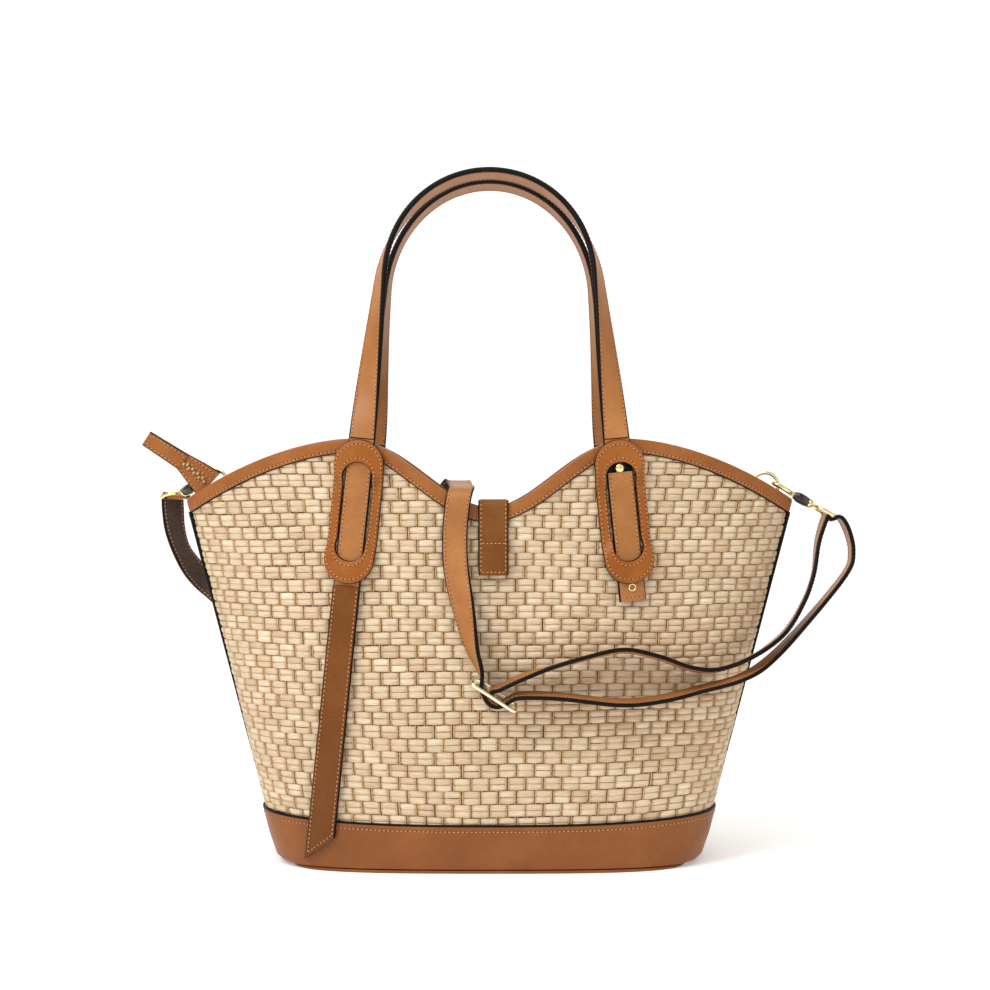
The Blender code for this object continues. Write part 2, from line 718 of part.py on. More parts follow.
def make_ring(hook):
    """D-shaped ring: a straight bar below and an arc above, in the plane of the seam."""
    drop = RING_RADIUS * 0.62
    half = math.sqrt(RING_RADIUS ** 2 - drop ** 2)
    start = -math.asin(drop / RING_RADIUS)
    arc = 16
    angles = [lerp(start, math.pi - start, k / arc) for k in range(arc + 1)]
    centre = hook.ring_centre
    points = [centre + Vector((RING_RADIUS * math.cos(a), 0.0, RING_RADIUS * math.sin(a)))
              for a in angles]
    points.append(centre + Vector((0.0, 0.0, -drop)))
    pivot = joint_empty("ring_hinge_" + hook.word, centre + Vector((0.0, 0.0, -drop)))
    wire("d_ring_" + hook.word, points, RING_WIRE, "pale_gold", pivot, cyclic=True)
    make_chape(hook, centre.z - drop, half)


def make_chape(hook, bar_z, half):
    """Leather loop round the ring's bar; both ends run down inside the corner."""
    thickness = 0.0009
    clear = RING_WIRE + GAP
    outer = clear + thickness
    depth = 0.020
    width = 1.2 * half
    x, y = hook.ring_centre.x, hook.ring_centre.y
    arc = 6
    angles = [math.pi * k / arc for k in range(arc + 1)]
    outline = [(y + outer * math.cos(a), bar_z + outer * math.sin(a)) for a in angles]
    outline += [(y - outer, bar_z - depth), (y + outer, bar_z - depth)]
    hole = [(y + clear * math.cos(a), bar_z + clear * math.sin(a)) for a in angles]
    hole += [(y - clear, bar_z - 2 * clear), (y + clear, bar_z - 2 * clear)]
    loops = []
    for end in (-1, 1):
        loops.append([Vector((x + end * width / 2, a, b)) for a, b in outline])
    bm = loft(loops)
    obj = finish("ring_chape_" + hook.word, bm, "tan_leather")
    cut_hole(obj, [[Vector((x + end * width, a, b)) for a, b in hole] for end in (-1, 1)])


def cut_hole(obj, loops):
    bm = loft(loops)
    bmesh.ops.recalc_face_normals(bm, faces=bm.faces)
    mesh = bpy.data.meshes.new(obj.name + "_cutter")
    bm.to_mesh(mesh)
    bm.free()
    cutter = bpy.data.objects.new(obj.name + "_cutter", mesh)
    bpy.context.scene.collection.objects.link(cutter)
    cutter.hide_render = True
    cutter.display_type = "WIRE"
    cut = obj.modifiers.new("hole", "BOOLEAN")
    cut.operation = "DIFFERENCE"
    cut.object = cutter


def make_hook(hook):
    """Curled hook, its spring gate, the swivel barrel and the eye that the strap loops through."""
    turn = joint_empty("swivel_" + hook.word, hook.at(BARREL_START))
    half = 0.0050
    curl = [(BARREL_START - CLAW_GAP, 0.0), (0.0098, -0.0012), (0.0066, -0.0040), (0.0020, -half),
            (-0.0022, -0.0042), (-HOOK_REACH + 0.0022, -0.0014), (-HOOK_REACH + 0.0024, 0.0016),
            (-0.0020, 0.0040), (0.0004, 0.0047)]
    points = [hook.at(*p) for p in smooth_path(curl, 3)]
    wire("hook_claw_" + hook.word, points, HOOK_WIRE, "pale_gold", turn)
    gate = joint_empty("gate_" + hook.word, hook.at(0.0100, 0.0018))
    bar = [hook.at(0.0100, 0.0018), hook.at(0.0066, 0.0036), hook.at(0.0026, 0.0046)]
    wire("hook_gate_" + hook.word, bar, 0.0008, "pale_gold", gate)
    profile = [(BARREL_START, 0.0026), (BARREL_START + 0.003, BARREL_RADIUS),
               (BARREL_END - 0.003, BARREL_RADIUS), (BARREL_END, 0.0030)]
    turned("hook_barrel_" + hook.word, profile, hook.grip, hook.axis, "dark_steel", sides=12)
    near, far = BARREL_END + 0.0016, BARREL_END + 0.0016 + EYE_LENGTH
    wide = EYE_WIDTH / 2
    loop = [(near, 0.003), (near + 0.001, 0.0065), (near + 0.004, wide - 0.0004), (far, wide),
            (far, -wide), (near + 0.004, -wide + 0.0004), (near + 0.001, -0.0065), (near, -0.003)]
    wire("hook_eye_" + hook.word, [hook.at(*p) for p in loop], EYE_WIRE, "pale_gold", cyclic=True)


def eye_bar(hook, turn, reach):
    """Point at a distance from the middle of a hook's strap bar, at an angle round the bar."""
    centre = hook.at(BARREL_END + 0.0016 + EYE_LENGTH)
    side = hook.flat.cross(hook.axis).normalized()
    return centre + (hook.axis * math.cos(turn) + side * math.sin(turn)) * reach


def make_strap_run(name, route, slot="tan_leather", steps=3):
    """Strap through hand-chosen stations: (point, direction of the strap's width)."""
    rows = smooth_path([(*point, *across) for point, across in route], steps)
    points = [Vector(row[:3]) for row in rows]
    across = [Vector(row[3:]) for row in rows]
    return finish(name, ribbon(points, across, BELT_WIDTH, BELT_THICKNESS), slot)


X_WAY = Vector((1, 0, 0))
Z_WAY = Vector((0, 0, 1))
BUCKLE_STAND = 0.0145        # buckle's middle in front of the straw


def buckle_frame():
    """Middle, long direction and cross direction of the slide buckle."""
    z = CORNER_HEIGHT * 0.486
    middle = Vector((0.0035, -wall_depth(0.0035, z) - BUCKLE_STAND, z))
    long_way = Vector((math.cos(math.radians(33)), 0.0, -math.sin(math.radians(33))))
    cross_way = Vector((0.10, 1.0, 0.09)).normalized()
    cross_way = (cross_way - long_way * cross_way.dot(long_way)).normalized()
    return middle, long_way, cross_way


def on_front(x_share, z_share, stand):
    """Point in front of the wall by shares of the corner's half width and height."""
    x, z = x_share * CORNER_WIDTH / 2, z_share * CORNER_HEIGHT
    return Vector((x, -wall_depth(x, z) - stand, z))


def on_rear(x_share, z_share, stand):
    point = on_front(x_share, z_share, stand)
    return Vector((point.x, -point.y, point.z))


def beside(x_share, z_share, clear):
    """Middle of a strap that stands edge-on in front of the wall."""
    return on_front(x_share, z_share, BELT_WIDTH / 2 + clear)


def twist(turn):
    """Width direction that starts along X and turns its right edge towards the front."""
    return Vector((math.cos(turn), -math.sin(turn), 0.0))


def make_long_strap():
    """From the left hook, down behind the bag, over both rims and down the front to the buckle."""
    hook = LEFT_HOOK
    wrap = EYE_WIRE + GAP + BELT_THICKNESS / 2
    ring = [eye_bar(hook, math.radians(a), wrap) for a in (215, 180, 145, 110, 75, 40, 5, -15)]
    lead = Vector((-0.45, -0.80, -0.25))
    flat = -hook.flat
    rest = 2 * GAP + BINDING_THICKNESS + BELT_THICKNESS / 2
    middle, _, cross = buckle_frame()
    bar = ring[-1]
    route = [(p, flat) for p in ring]
    route += [
        (bar + Vector((0.0002, 0.0010, -0.0080)), flat),
        (bar + Vector((0.0015, 0.0020, -0.0220)), flat.lerp(lead, 0.4)),
        (bar + Vector((0.0060, 0.0050, -0.0380)), flat.lerp(lead, 0.8)),
        (bar + Vector((0.0140, 0.0100, -0.0520)), Vector((-0.50, -0.45, -0.65))),
        (bar + Vector((0.0250, 0.0160, -0.0640)), Vector((-0.50, -0.15, -0.80))),
        (on_rear(-0.88, 0.705, 0.030), Vector((-0.30, 0.0, -0.95))),
        (on_rear(-0.72, 0.690, 0.022), Vector((0.05, 0.0, -1.0))),
        (on_rear(-0.55, 0.720, 0.017), Vector((0.35, 0.0, -0.94))),
        (on_rear(-0.40, 0.800, 0.016), Vector((0.62, 0.0, -0.78))),
        (on_rear(-0.25, 0.870, 0.014), Vector((0.78, 0.0, -0.62))),
    ]
    low_rim = rim_height(0.165 * CORNER_WIDTH / 2) + 0.0080
    rear_x, front_x = -0.105 * CORNER_WIDTH / 2, -0.087 * CORNER_WIDTH / 2
    crest = rim_height(abs(rear_x) + BELT_WIDTH / 2) + rest
    near = rim_height(abs(front_x) + BELT_WIDTH / 2) + rest
    depth = half_depth(DIP_HEIGHT)
    route += [
        (Vector((rear_x - 0.008, depth + 0.0100, lerp(low_rim, crest, 0.2) - 0.010)),
         Vector((0.90, 0.0, -0.42))),
        (Vector((rear_x - 0.002, depth + 0.0030, crest + 0.0010)), Vector((0.97, 0.1, -0.15))),
        (Vector((rear_x, depth - 0.012, crest + 0.0030)), X_WAY),
        (Vector((lerp(rear_x, front_x, 0.5), 0.0, lerp(crest, near, 0.5) + 0.0010)), X_WAY),
        (Vector((front_x, -depth + 0.012, near + 0.0010)), X_WAY),
        (Vector((front_x - 0.001, -depth - 0.0030, near - 0.0022)), X_WAY),
        (Vector((front_x - 0.003, -depth - 0.0070, near - 0.0120)), X_WAY),
        (on_front(-0.108, 0.905, rest + 0.0012), twist(0.03)),
        (on_front(-0.104, 0.815, rest + 0.0016), twist(0.12)),
        (on_front(-0.082, 0.718, rest + 0.0040), twist(0.55)),
        (on_front(-0.054, 0.612, rest + 0.0090), twist(1.05)),
        (middle + Vector((-0.0092, 0.0, 0.0160)), twist(1.42)),
        (middle + Vector((-0.0082, 0.0, 0.0060)), -cross),
    ]
    make_strap_run("shoulder_strap", route, steps=2)


def make_strap_loop():
    """From the buckle to the right hook, round its eye, and back to the buckle's middle bar."""
    hook = RIGHT_HOOK
    middle, _, cross = buckle_frame()
    near_edge = -cross
    low_face, high_face = Vector((0.0, -1.0, -0.10)), Vector((0.0, -1.0, 0.16))
    wrap = EYE_WIRE + GAP + BELT_THICKNESS / 2
    corner, top, depth = CORNER_WIDTH / 2, CORNER_HEIGHT, half_depth(CORNER_HEIGHT / 2)
    back = -hook.flat
    bar = hook.at(BARREL_END + 0.0016 + EYE_LENGTH)
    route = [
        (middle + Vector((-0.0079, 0.0, 0.0050)), near_edge),
        (middle + Vector((-0.0048, 0.0, -0.0028)), near_edge),
        (middle + Vector((0.0004, 0.0, -0.0068)), near_edge),
        (middle + Vector((0.0066, 0.0, -0.0060)), near_edge),
        (middle + Vector((0.0112, 0.0, -0.0030)), near_edge),
        (middle + Vector((0.0185, 0.0, -0.0008)), near_edge),
        (beside(0.22, 0.480, 0.006), low_face),
        (beside(0.41, 0.461, 0.004), low_face),
        (beside(0.54, 0.468, 0.003), low_face),
        (beside(0.67, 0.490, 0.003), low_face),
        (Vector((0.80 * corner, -0.86 * depth, 0.520 * top)), low_face),
        (Vector((0.90 * corner, -0.66 * depth, 0.565 * top)), low_face),
        (Vector((1.03 * corner, -0.36 * depth, 0.660 * top)), Vector((0.0, -1.0, 0.0))),
        (bar + Vector((0.0090, -0.0080, -0.0420)), Vector((-0.06, -1.0, 0.0))),
        (bar + Vector((0.0150, -0.0030, -0.0260)), Vector((-0.04, -1.0, 0.0))),
        (bar + Vector((0.0120, 0.0, -0.0100)), back),
        (bar + Vector((0.0062, 0.0, -0.0010)), back),
    ]
    route += [(eye_bar(hook, math.radians(a), wrap), back) for a in (60, 95, 130, 165, 200)]
    route += [
        (bar + Vector((-0.0052, 0.0, -0.0060)), back),
        (bar + Vector((-0.0095, -0.0030, -0.0200)), Vector((-0.06, -1.0, 0.0))),
        (bar + Vector((-0.0140, -0.0110, -0.0420)), Vector((-0.16, -1.0, 0.0))),
        (bar + Vector((-0.0235, -0.0220, -0.0620)), Vector((-0.16, -1.0, 0.0))),
        (bar + Vector((-0.0390, -0.0350, -0.0820)), Vector((-0.10, -1.0, 0.05))),
        (Vector((0.845 * corner, -0.80 * depth, 0.578 * top)), high_face),
        (beside(0.735, 0.541, 0.004), high_face),
        (beside(0.640, 0.547, 0.004), high_face),
        (beside(0.530, 0.580, 0.004), high_face),
        (beside(0.420, 0.599, 0.004), high_face),
        (beside(0.300, 0.580, 0.005), high_face),
        (beside(0.190, 0.555, 0.006), high_face.lerp(near_edge, 0.3)),
        (middle + Vector((0.0200, 0.0, 0.0118)), near_edge),
        (middle + Vector((0.0100, 0.0, 0.0072)), near_edge),
        (middle + Vector((0.0035, 0.0, 0.0042)), near_edge),
        (middle + Vector((-0.0014, 0.0, 0.0030)), near_edge),
        (middle + Vector((-0.0031, 0.0, -0.0004)), near_edge),
    ]
    make_strap_run("strap_loop", route, steps=2)


def make_buckle():
    """Slide buckle: a long wire frame with a middle bar that the strap's end is sewn round."""
    middle, long_way, cross = buckle_frame()
    half, wide, corner = BUCKLE_LENGTH / 2, BUCKLE_WIDTH / 2 + BUCKLE_WIRE, 0.003
    outline = []
    for sx, sy in ((1, 1), (-1, 1), (-1, -1), (1, -1)):
        bend = [(half - corner, wide), (half - corner * 0.29, wide - corner * 0.29), (half, wide - corner)]
        if sx * sy > 0:
            bend.reverse()
        outline += [(sx * a, sy * b) for a, b in bend]
    points = [middle + long_way * a + cross * b for a, b in outline]
    wire("slide_buckle", points, BUCKLE_WIRE, "pale_gold", cyclic=True)
    reach = wide - BUCKLE_WIRE - GAP
    wire("buckle_bar", [middle - cross * reach, middle + cross * reach], BUCKLE_WIRE, "pale_gold")


# ==================================================================================================
# zip
# ==================================================================================================
STUB_HEIGHT = GUSSET_BOTTOM + GUSSET_HEIGHT / 2 + 0.002
STUB_X = -0.43 * CORNER_WIDTH            # outer end of the joined stub


def gusset_route(side):
    """Plan line of an open zip gusset: along the inside of the wall, then in to the joined stub."""
    z = GUSSET_BOTTOM + GUSSET_HEIGHT / 2
    inside = -LINING_INNER + GAP + CHAIN_THICKNESS / 2 + 0.0026
    shares = (0.70, 0.50, 0.30, 0.10, -0.10, -0.30, -0.50, -0.60)
    points = [lay(share * CORNER_WIDTH / 2, z, -inside) for share in shares]
    meet = STUB_X + ZIP_STUB_LENGTH
    points += [Vector((meet + 0.010, -0.010, z)), Vector((meet + 0.002, -0.0040, z))]
    return [Vector((p.x, side * p.y, p.z)) for p in points]


def make_zip():
    for side, word in ((FRONT, "front"), (REAR, "rear")):
        rows = smooth_path([tuple(p) for p in gusset_route(side)], 2)
        points = [Vector(row) for row in rows]
        across = [Z_WAY] * len(points)
        finish("zip_gusset_" + word, ribbon(points, across, GUSSET_HEIGHT, GUSSET_THICKNESS), "zip_tape")
        low = Vector((0, 0, -GUSSET_HEIGHT / 2 - GAP - CHAIN_WIDTH / 4))
        teeth = [p + low for p in points]
        finish("zip_teeth_" + word, ribbon(teeth, across, CHAIN_WIDTH / 2, CHAIN_THICKNESS), "pale_gold")
    make_zip_stub()
    make_zip_tail()


def make_zip_stub():
    """Joined length of zip inside the left corner, with the slider parked on it."""
    start, end = STUB_X, STUB_X + ZIP_STUB_LENGTH
    points = [Vector((x, 0.0, STUB_HEIGHT)) for x in (start, (start + end) / 2, end)]
    finish("zip_stub", ribbon(points, [Z_WAY] * 3, CHAIN_WIDTH, CHAIN_THICKNESS), "pale_gold")
    place = start + SLIDER_LENGTH / 2 + 0.003
    pivot = joint_empty("zip_slide", (place, 0.0, STUB_HEIGHT))
    tall = CHAIN_WIDTH / 2 + SLIDER_CLEARANCE
    thick = CHAIN_THICKNESS / 2 + SLIDER_CLEARANCE
    loops = []
    for x, grow in ((place - SLIDER_LENGTH / 2, SLIDER_WALL * 0.8), (place, SLIDER_WALL * 1.3),
                    (place + SLIDER_LENGTH / 2, SLIDER_WALL)):
        loops.append([Vector((x, sy * (thick + grow), STUB_HEIGHT + sz * (tall + grow)))
                      for sy, sz in ((-1, -1), (1, -1), (1, 1), (-1, 1))])
    slider = finish("zip_slider", loft(loops), "pale_gold", pivot)
    hole = []
    for end in (-1, 1):
        hole.append([Vector((end * SLIDER_LENGTH, sy * thick, sz * tall))
                     for sy, sz in ((-1, -1), (1, -1), (1, 1), (-1, 1))])
    cut_hole(slider, hole)
    slider.modifiers["hole"].object.location = pivot.location
    make_puller(pivot, thick + SLIDER_WALL * 1.3)


def make_puller(slide, stand):
    """Leaf puller that hangs beside the slider from a small lug."""
    hinge = joint_empty("puller_hinge", slide.location + Vector((0.0, stand + 0.0016, 0.0022)))
    top = hinge.location
    outline = [(-0.0016, 0.0008), (0.0016, 0.0008), (0.0024, -0.0080), (0.0036, -0.0230),
               (0.0024, -0.0270), (-0.0024, -0.0270), (-0.0036, -0.0230), (-0.0024, -0.0080)]
    loops = [[top + Vector((x, y, z)) for x, z in outline] for y in (-0.0006, 0.0006)]
    finish("zip_puller", loft(loops), "pale_gold", hinge)


def make_zip_tail():
    """Leather-faced tongue of the zip that stands out of the left corner, and its folded end tab."""
    corner = Vector((-CORNER_WIDTH / 2, 0.0, CORNER_HEIGHT))
    low = [(0.0060, 0.0046, -0.0075), (-0.0007, 0.0135, -0.0078), (-0.0070, 0.0222, -0.0082)]
    high = [(0.0270, 0.0160, -0.0075), (0.0150, 0.0240, -0.0078), (0.0020, 0.0320, -0.0082)]
    half = TONGUE_THICKNESS / 2
    loops = []
    for (xa, za, ya), (xb, zb, yb) in zip(low, high):
        loops.append([corner + Vector((xa, ya - half, za)), corner + Vector((xb, yb - half, zb)),
                      corner + Vector((xb, yb + half, zb)), corner + Vector((xa, ya + half, za))])
    finish("zip_tongue", loft(loops), "tan_leather")
    middle = [corner + Vector(((xa + xb) / 2, ya - half - GAP - CHAIN_THICKNESS / 2, (za + zb) / 2))
              for (xa, za, ya), (xb, zb, _) in zip(low, high)]
    route = smooth_path([tuple(p) for p in middle], 2)
    points = [Vector(p) for p in route]
    across = [Vector((0.66, 0.0, 0.75))] * len(points)
    finish("zip_tail_teeth", ribbon(points[1:], across[1:], CHAIN_WIDTH, CHAIN_THICKNESS), "pale_gold")
    start = corner + Vector((-0.0037, -0.0082, 0.0278))
    stop = corner + Vector((-0.0280, -0.0100, 0.0435))
    wide = Vector((0.62, -0.06, 0.78))
    ends = [start.lerp(stop, t) for t in (0.0, 0.33, 0.66, 1.0)]
    finish("zip_end_tab", ribbon(ends, [wide] * 4, 0.0125, END_TAB_THICKNESS), "tan_leather")


def main():
    clear_scene()
    make_body()
    make_tags()
    make_tail()
    make_handle("front_handle", FRONT)
    make_handle("rear_handle", REAR)
    make_tab()
    for hook in HOOKS:
        make_ring(hook)
        make_hook(hook)
    make_long_strap()
    make_strap_loop()
    make_buckle()
    make_zip()


main()
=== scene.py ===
"""Straw beach tote: woven straw panels, tan leather with black painted edges, pale gold fittings."""
import math

import bmesh
import bpy
import numpy as np
from mathutils import Matrix, Vector


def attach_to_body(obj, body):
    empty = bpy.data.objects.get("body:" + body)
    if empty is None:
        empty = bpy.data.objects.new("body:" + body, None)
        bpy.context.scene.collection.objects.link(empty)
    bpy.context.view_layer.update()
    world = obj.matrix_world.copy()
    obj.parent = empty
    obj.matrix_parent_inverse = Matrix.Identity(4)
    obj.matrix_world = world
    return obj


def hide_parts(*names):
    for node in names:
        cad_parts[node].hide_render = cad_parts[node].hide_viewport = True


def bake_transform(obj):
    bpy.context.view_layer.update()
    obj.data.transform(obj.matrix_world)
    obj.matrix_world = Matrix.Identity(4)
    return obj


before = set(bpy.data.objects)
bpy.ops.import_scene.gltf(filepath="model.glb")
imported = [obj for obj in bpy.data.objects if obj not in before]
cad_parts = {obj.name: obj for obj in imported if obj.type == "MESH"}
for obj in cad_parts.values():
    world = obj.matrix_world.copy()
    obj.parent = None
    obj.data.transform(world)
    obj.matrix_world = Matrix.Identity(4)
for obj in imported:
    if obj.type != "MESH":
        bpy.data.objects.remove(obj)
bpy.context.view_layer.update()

MM = 0.001

# ---- sizes of the body, as the frame has them ----------------------------------------------------
BASE_WIDTH = 0.299
CORNER_WIDTH = 0.434          # at the upper corners
BASE_DEPTH = 0.124
RIM_DEPTH = 0.118
BELLY = 0.004                 # outward bow of the panels between base and rim
FOOT_RADIUS = 11.0 * MM       # of the base's lower corners, as seen from the front
CORNER_HEIGHT = 0.256
PEAK_HEIGHT = 0.298
DIP_HEIGHT = 0.250
PEAK_X = 0.095
WING_POWER = 1.75             # curve of the rim from a peak down to its corner
BASE_SQUARENESS = 3.2         # exponent of the plan curve at the base: a rounded rectangle
RIM_SQUARENESS = 2.1          # exponents at the rim: a lens with pointed ends
RIM_BLUNTNESS = 1.25
GAP = 0.3 * MM
BINDING = 1.2 * MM            # leather of the rim's binding
BINDING_DROP = 8.5 * MM
BINDING_BACK = 5.5 * MM       # inner side of the binding behind the straw's face
BAND = 1.8 * MM               # leather of the band round the base
BAND_FOOT = 2.3 * MM
BAND_HEIGHT = 33.5 * MM
BAND_RISE = 6.0 * MM          # of the band's top edge towards the side seams
SOLE = 2.0 * MM
SEAM_S = 0.0006               # share of the wall that trim stops short of the side seams

# ---- plates, straps, handles ---------------------------------------------------------------------
STRAP_WIDTH = 18.5 * MM
STRAP_THICKNESS = 3.0 * MM
HANDLE_THICKNESS = 3.8 * MM
TAG_X = 0.087
TAG_TILT = math.radians(5.7)
PLATE_LENGTH = 99.5 * MM
PLATE_WIDTH = 34.4 * MM
PLATE_THICKNESS = 2.5 * MM
PLATE_SIDE_HEIGHT = 1.0 * MM
SLOT_LENGTH = 68.0 * MM
SLOT_CLEARANCE = 1.05 * MM
STRAP_END_LENGTH = 11.7 * MM
HANDLE_HEIGHT = 0.189
HANDLE_LEAN = math.radians(10.0)
CROWN_TILT = math.radians(9.0)    # front edge of the crown stands higher than the back one
LEG_SLOPE = 0.10              # inward step of a leg for each step up
ARCH_RISE = 0.085
TAIL_WIDTH = 19.0 * MM
TAIL_LENGTH = 0.192
TAIL_SLANT = 18.5 * MM
TAIL_THICKNESS = 3.0 * MM
TAB_X = 2.9 * MM
TAB_WIDTH = 20.8 * MM
TAB_THICKNESS = 2.6 * MM
TAB_DROP = 46.0 * MM
TAB_PATCH_DROP = 34.0 * MM
TAB_SLACK = 0.7 * MM
TAB_BEND = 3.4 * MM

# ---- shoulder strap and fittings -----------------------------------------------------------------
BELT_WIDTH = 17.5 * MM
BELT_THICKNESS = 2.8 * MM
RING_INSET = 18.5 * MM
RING_RADIUS = 9.5 * MM
RING_WIRE = 1.2 * MM
HOOK_WIRE = 1.3 * MM
BARREL_START = 13.0 * MM
BARREL_END = 28.0 * MM
EYE_NEAR = BARREL_END + 1.6 * MM
EYE_LENGTH = 13.5 * MM
EYE_FAR = EYE_NEAR + EYE_LENGTH
EYE_WIDTH = 21.2 * MM
EYE_WIRE = 1.2 * MM
EYE_CAST = 1.5 * MM           # the eye as cast, a little thicker than the solid
BUCKLE_STAND = 14.5 * MM      # of its middle in front of the straw
BUCKLE_TURN = math.radians(33)

# ---- weave and stitching -------------------------------------------------------------------------
BRICK_WIDTH = 12.4 * MM
ROW_HEIGHT = 9.0 * MM
STRANDS = 2                   # flat straws side by side in one brick
THREAD_SPACING = 1.7 * MM     # between the two threads of a pair
THREAD_WIDTH = 1.15 * MM
STITCH_PITCH = 3.0 * MM
STITCH_LENGTH = 2.05 * MM
STITCH_WIDTH = 0.75 * MM
HOLE_REACH = 0.17             # half length of a needle hole, as a share of the pitch
SEAM_INSET = 2.0 * MM         # of a seam from the leather's edge
THREAD_LIFT = 0.02 * MM       # of a seam above the leather
EDGE_ROUND = 0.9 * MM         # of a strap's painted edges

FRONT, REAR = 1, -1
SIDES = ((FRONT, "front"), (REAR, "rear"))
ENDS = ((-1, "left"), (1, "right"))
X_WAY, Y_WAY, Z_WAY = Vector((1, 0, 0)), Vector((0, 1, 0)), Vector((0, 0, 1))


def lerp(a, b, t):
    """Straight mix of a and b."""
    return a + (b - a) * t


def smooth(t):
    """Ease from 0 to 1, level at both ends."""
    t = np.clip(t, 0.0, 1.0)
    return t * t * (3.0 - 2.0 * t)


# ---- materials ------------------------------------------------------------------------------------
def colour(code):
    """sRGB hex to linear RGBA."""
    channels = [int(code[k:k + 2], 16) / 255 for k in (1, 3, 5)]
    linear = [c / 12.92 if c <= 0.04045 else ((c + 0.055) / 1.055) ** 2.4 for c in channels]
    return (*linear, 1.0)


def add(material, kind, settings=None, **links):
    """Adds a node with its settings; a link names an input and gives the socket that feeds it."""
    node = material.node_tree.nodes.new(kind)
    for key, value in (settings or {}).items():
        if isinstance(key, int) or key in node.inputs:
            node.inputs[key].default_value = value
        else:
            setattr(node, key, value)
    for key, socket in links.items():
        target = node.inputs[int(key[1:])] if key[1:].isdigit() else node.inputs[key.replace("_", " ")]
        material.node_tree.links.new(socket, target)
    return node


def ramp(material, factor, stops):
    """Colour ramp through (place, hex code) stops."""
    node = add(material, "ShaderNodeValToRGB", i0=factor)
    elements = node.color_ramp.elements
    while len(elements) < len(stops):
        elements.new(0.5)
    for element, (place, code) in zip(elements, stops):
        element.position = place
        element.color = colour(code)
    return node.outputs["Color"]


def new_material(name, roughness, metallic=0.0, **settings):
    """Material and its shader; a setting names a socket, with underscores for its spaces."""
    material = bpy.data.materials.new(name)
    material.use_nodes = True
    shader = material.node_tree.nodes["Principled BSDF"]
    shader.inputs["Roughness"].default_value = roughness
    shader.inputs["Metallic"].default_value = metallic
    for key, value in settings.items():
        shader.inputs[key.replace("_", " ")].default_value = value
    return material, shader


def place_of(material, source="Object", scale=(1, 1, 1)):
    """Place on the piece in metres, so that a noise scale of 900 gives grains of about 1.1 mm."""
    coordinates = add(material, "ShaderNodeTexCoord")
    mapping = add(material, "ShaderNodeMapping", {"Scale": scale}, Vector=coordinates.outputs[source])
    return mapping.outputs["Vector"]


def bump(material, shader, height, distance, strength):
    """Relief from a height, distance deep in metres."""
    node = add(material, "ShaderNodeBump", {"Distance": distance, "Strength": strength}, Height=height)
    paint(material, shader, node.outputs["Normal"], "Normal")


def paint(material, shader, socket, name="Base Color"):
    """Feeds a socket into one of the shader's inputs."""
    material.node_tree.links.new(socket, shader.inputs[name])


def grained(name, roughness, scale, detail, tones, relief=None, **settings):
    """Material with one fine noise between two tones; relief is its bump's depth and strength."""
    m, shader = new_material(name, roughness, **settings)
    noise = add(m, "ShaderNodeTexNoise", {"Scale": scale, "Detail": detail}, Vector=place_of(m))
    paint(m, shader, ramp(m, noise.outputs["Fac"], tones))
    if relief:
        bump(m, shader, noise.outputs["Fac"], *relief)
    return m


def straw_material():
    """Flat paper straw: dry, pale cream, each strand its own tone with fine lines along its fibres; painted
    shade darkens it where it dives under the threads and along its edges.
    """
    m, shader = new_material("woven_paper_straw", 0.62, Specular_IOR_Level=0.35)
    tone = add(m, "ShaderNodeAttribute", {"attribute_name": "tone"}).outputs["Fac"]
    uv = place_of(m, "UV", (60, 1, 1))
    lines = add(m, "ShaderNodeTexNoise", {"Scale": 1.0, "Detail": 3.0, "Roughness": 0.6},
                Vector=place_of(m, "UV", (110, 2100, 1)))
    patches = add(m, "ShaderNodeTexNoise", {"Scale": 1.6, "Detail": 2.0}, Vector=uv)
    blend = add(m, "ShaderNodeMath", {"operation": "MULTIPLY_ADD", 1: 0.95, 2: -0.20},
                i0=lines.outputs["Fac"])
    mixed = add(m, "ShaderNodeMath", {"operation": "MULTIPLY_ADD", 1: 0.62}, i0=tone,
                i2=blend.outputs["Value"])
    spread = add(m, "ShaderNodeMath", {"operation": "MULTIPLY_ADD", 1: 0.25}, i0=patches.outputs["Fac"],
                 i2=mixed.outputs["Value"])
    stops = [(0.32, "#9C7652"), (0.52, "#BA9C7A"), (0.72, "#CCB596"), (0.98, "#E6D6BC")]
    # painted shade: the shade attribute darkens the straw where it dives under the threads and along its long
    # edges
    shade = add(m, "ShaderNodeAttribute", {"attribute_name": "shade"}).outputs["Fac"]
    dark = add(m, "ShaderNodeMix", {"data_type": "RGBA", "blend_type": "MULTIPLY"},
               i6=ramp(m, spread.outputs["Value"], stops),
               i7=ramp(m, shade, [(0.0, "#7A5632"), (1.0, "#FFFFFF")]))
    dark.inputs[0].default_value = 1.0
    paint(m, shader, dark.outputs[2])
    bump(m, shader, lines.outputs["Fac"], 0.25 * MM, 0.9)
    return m


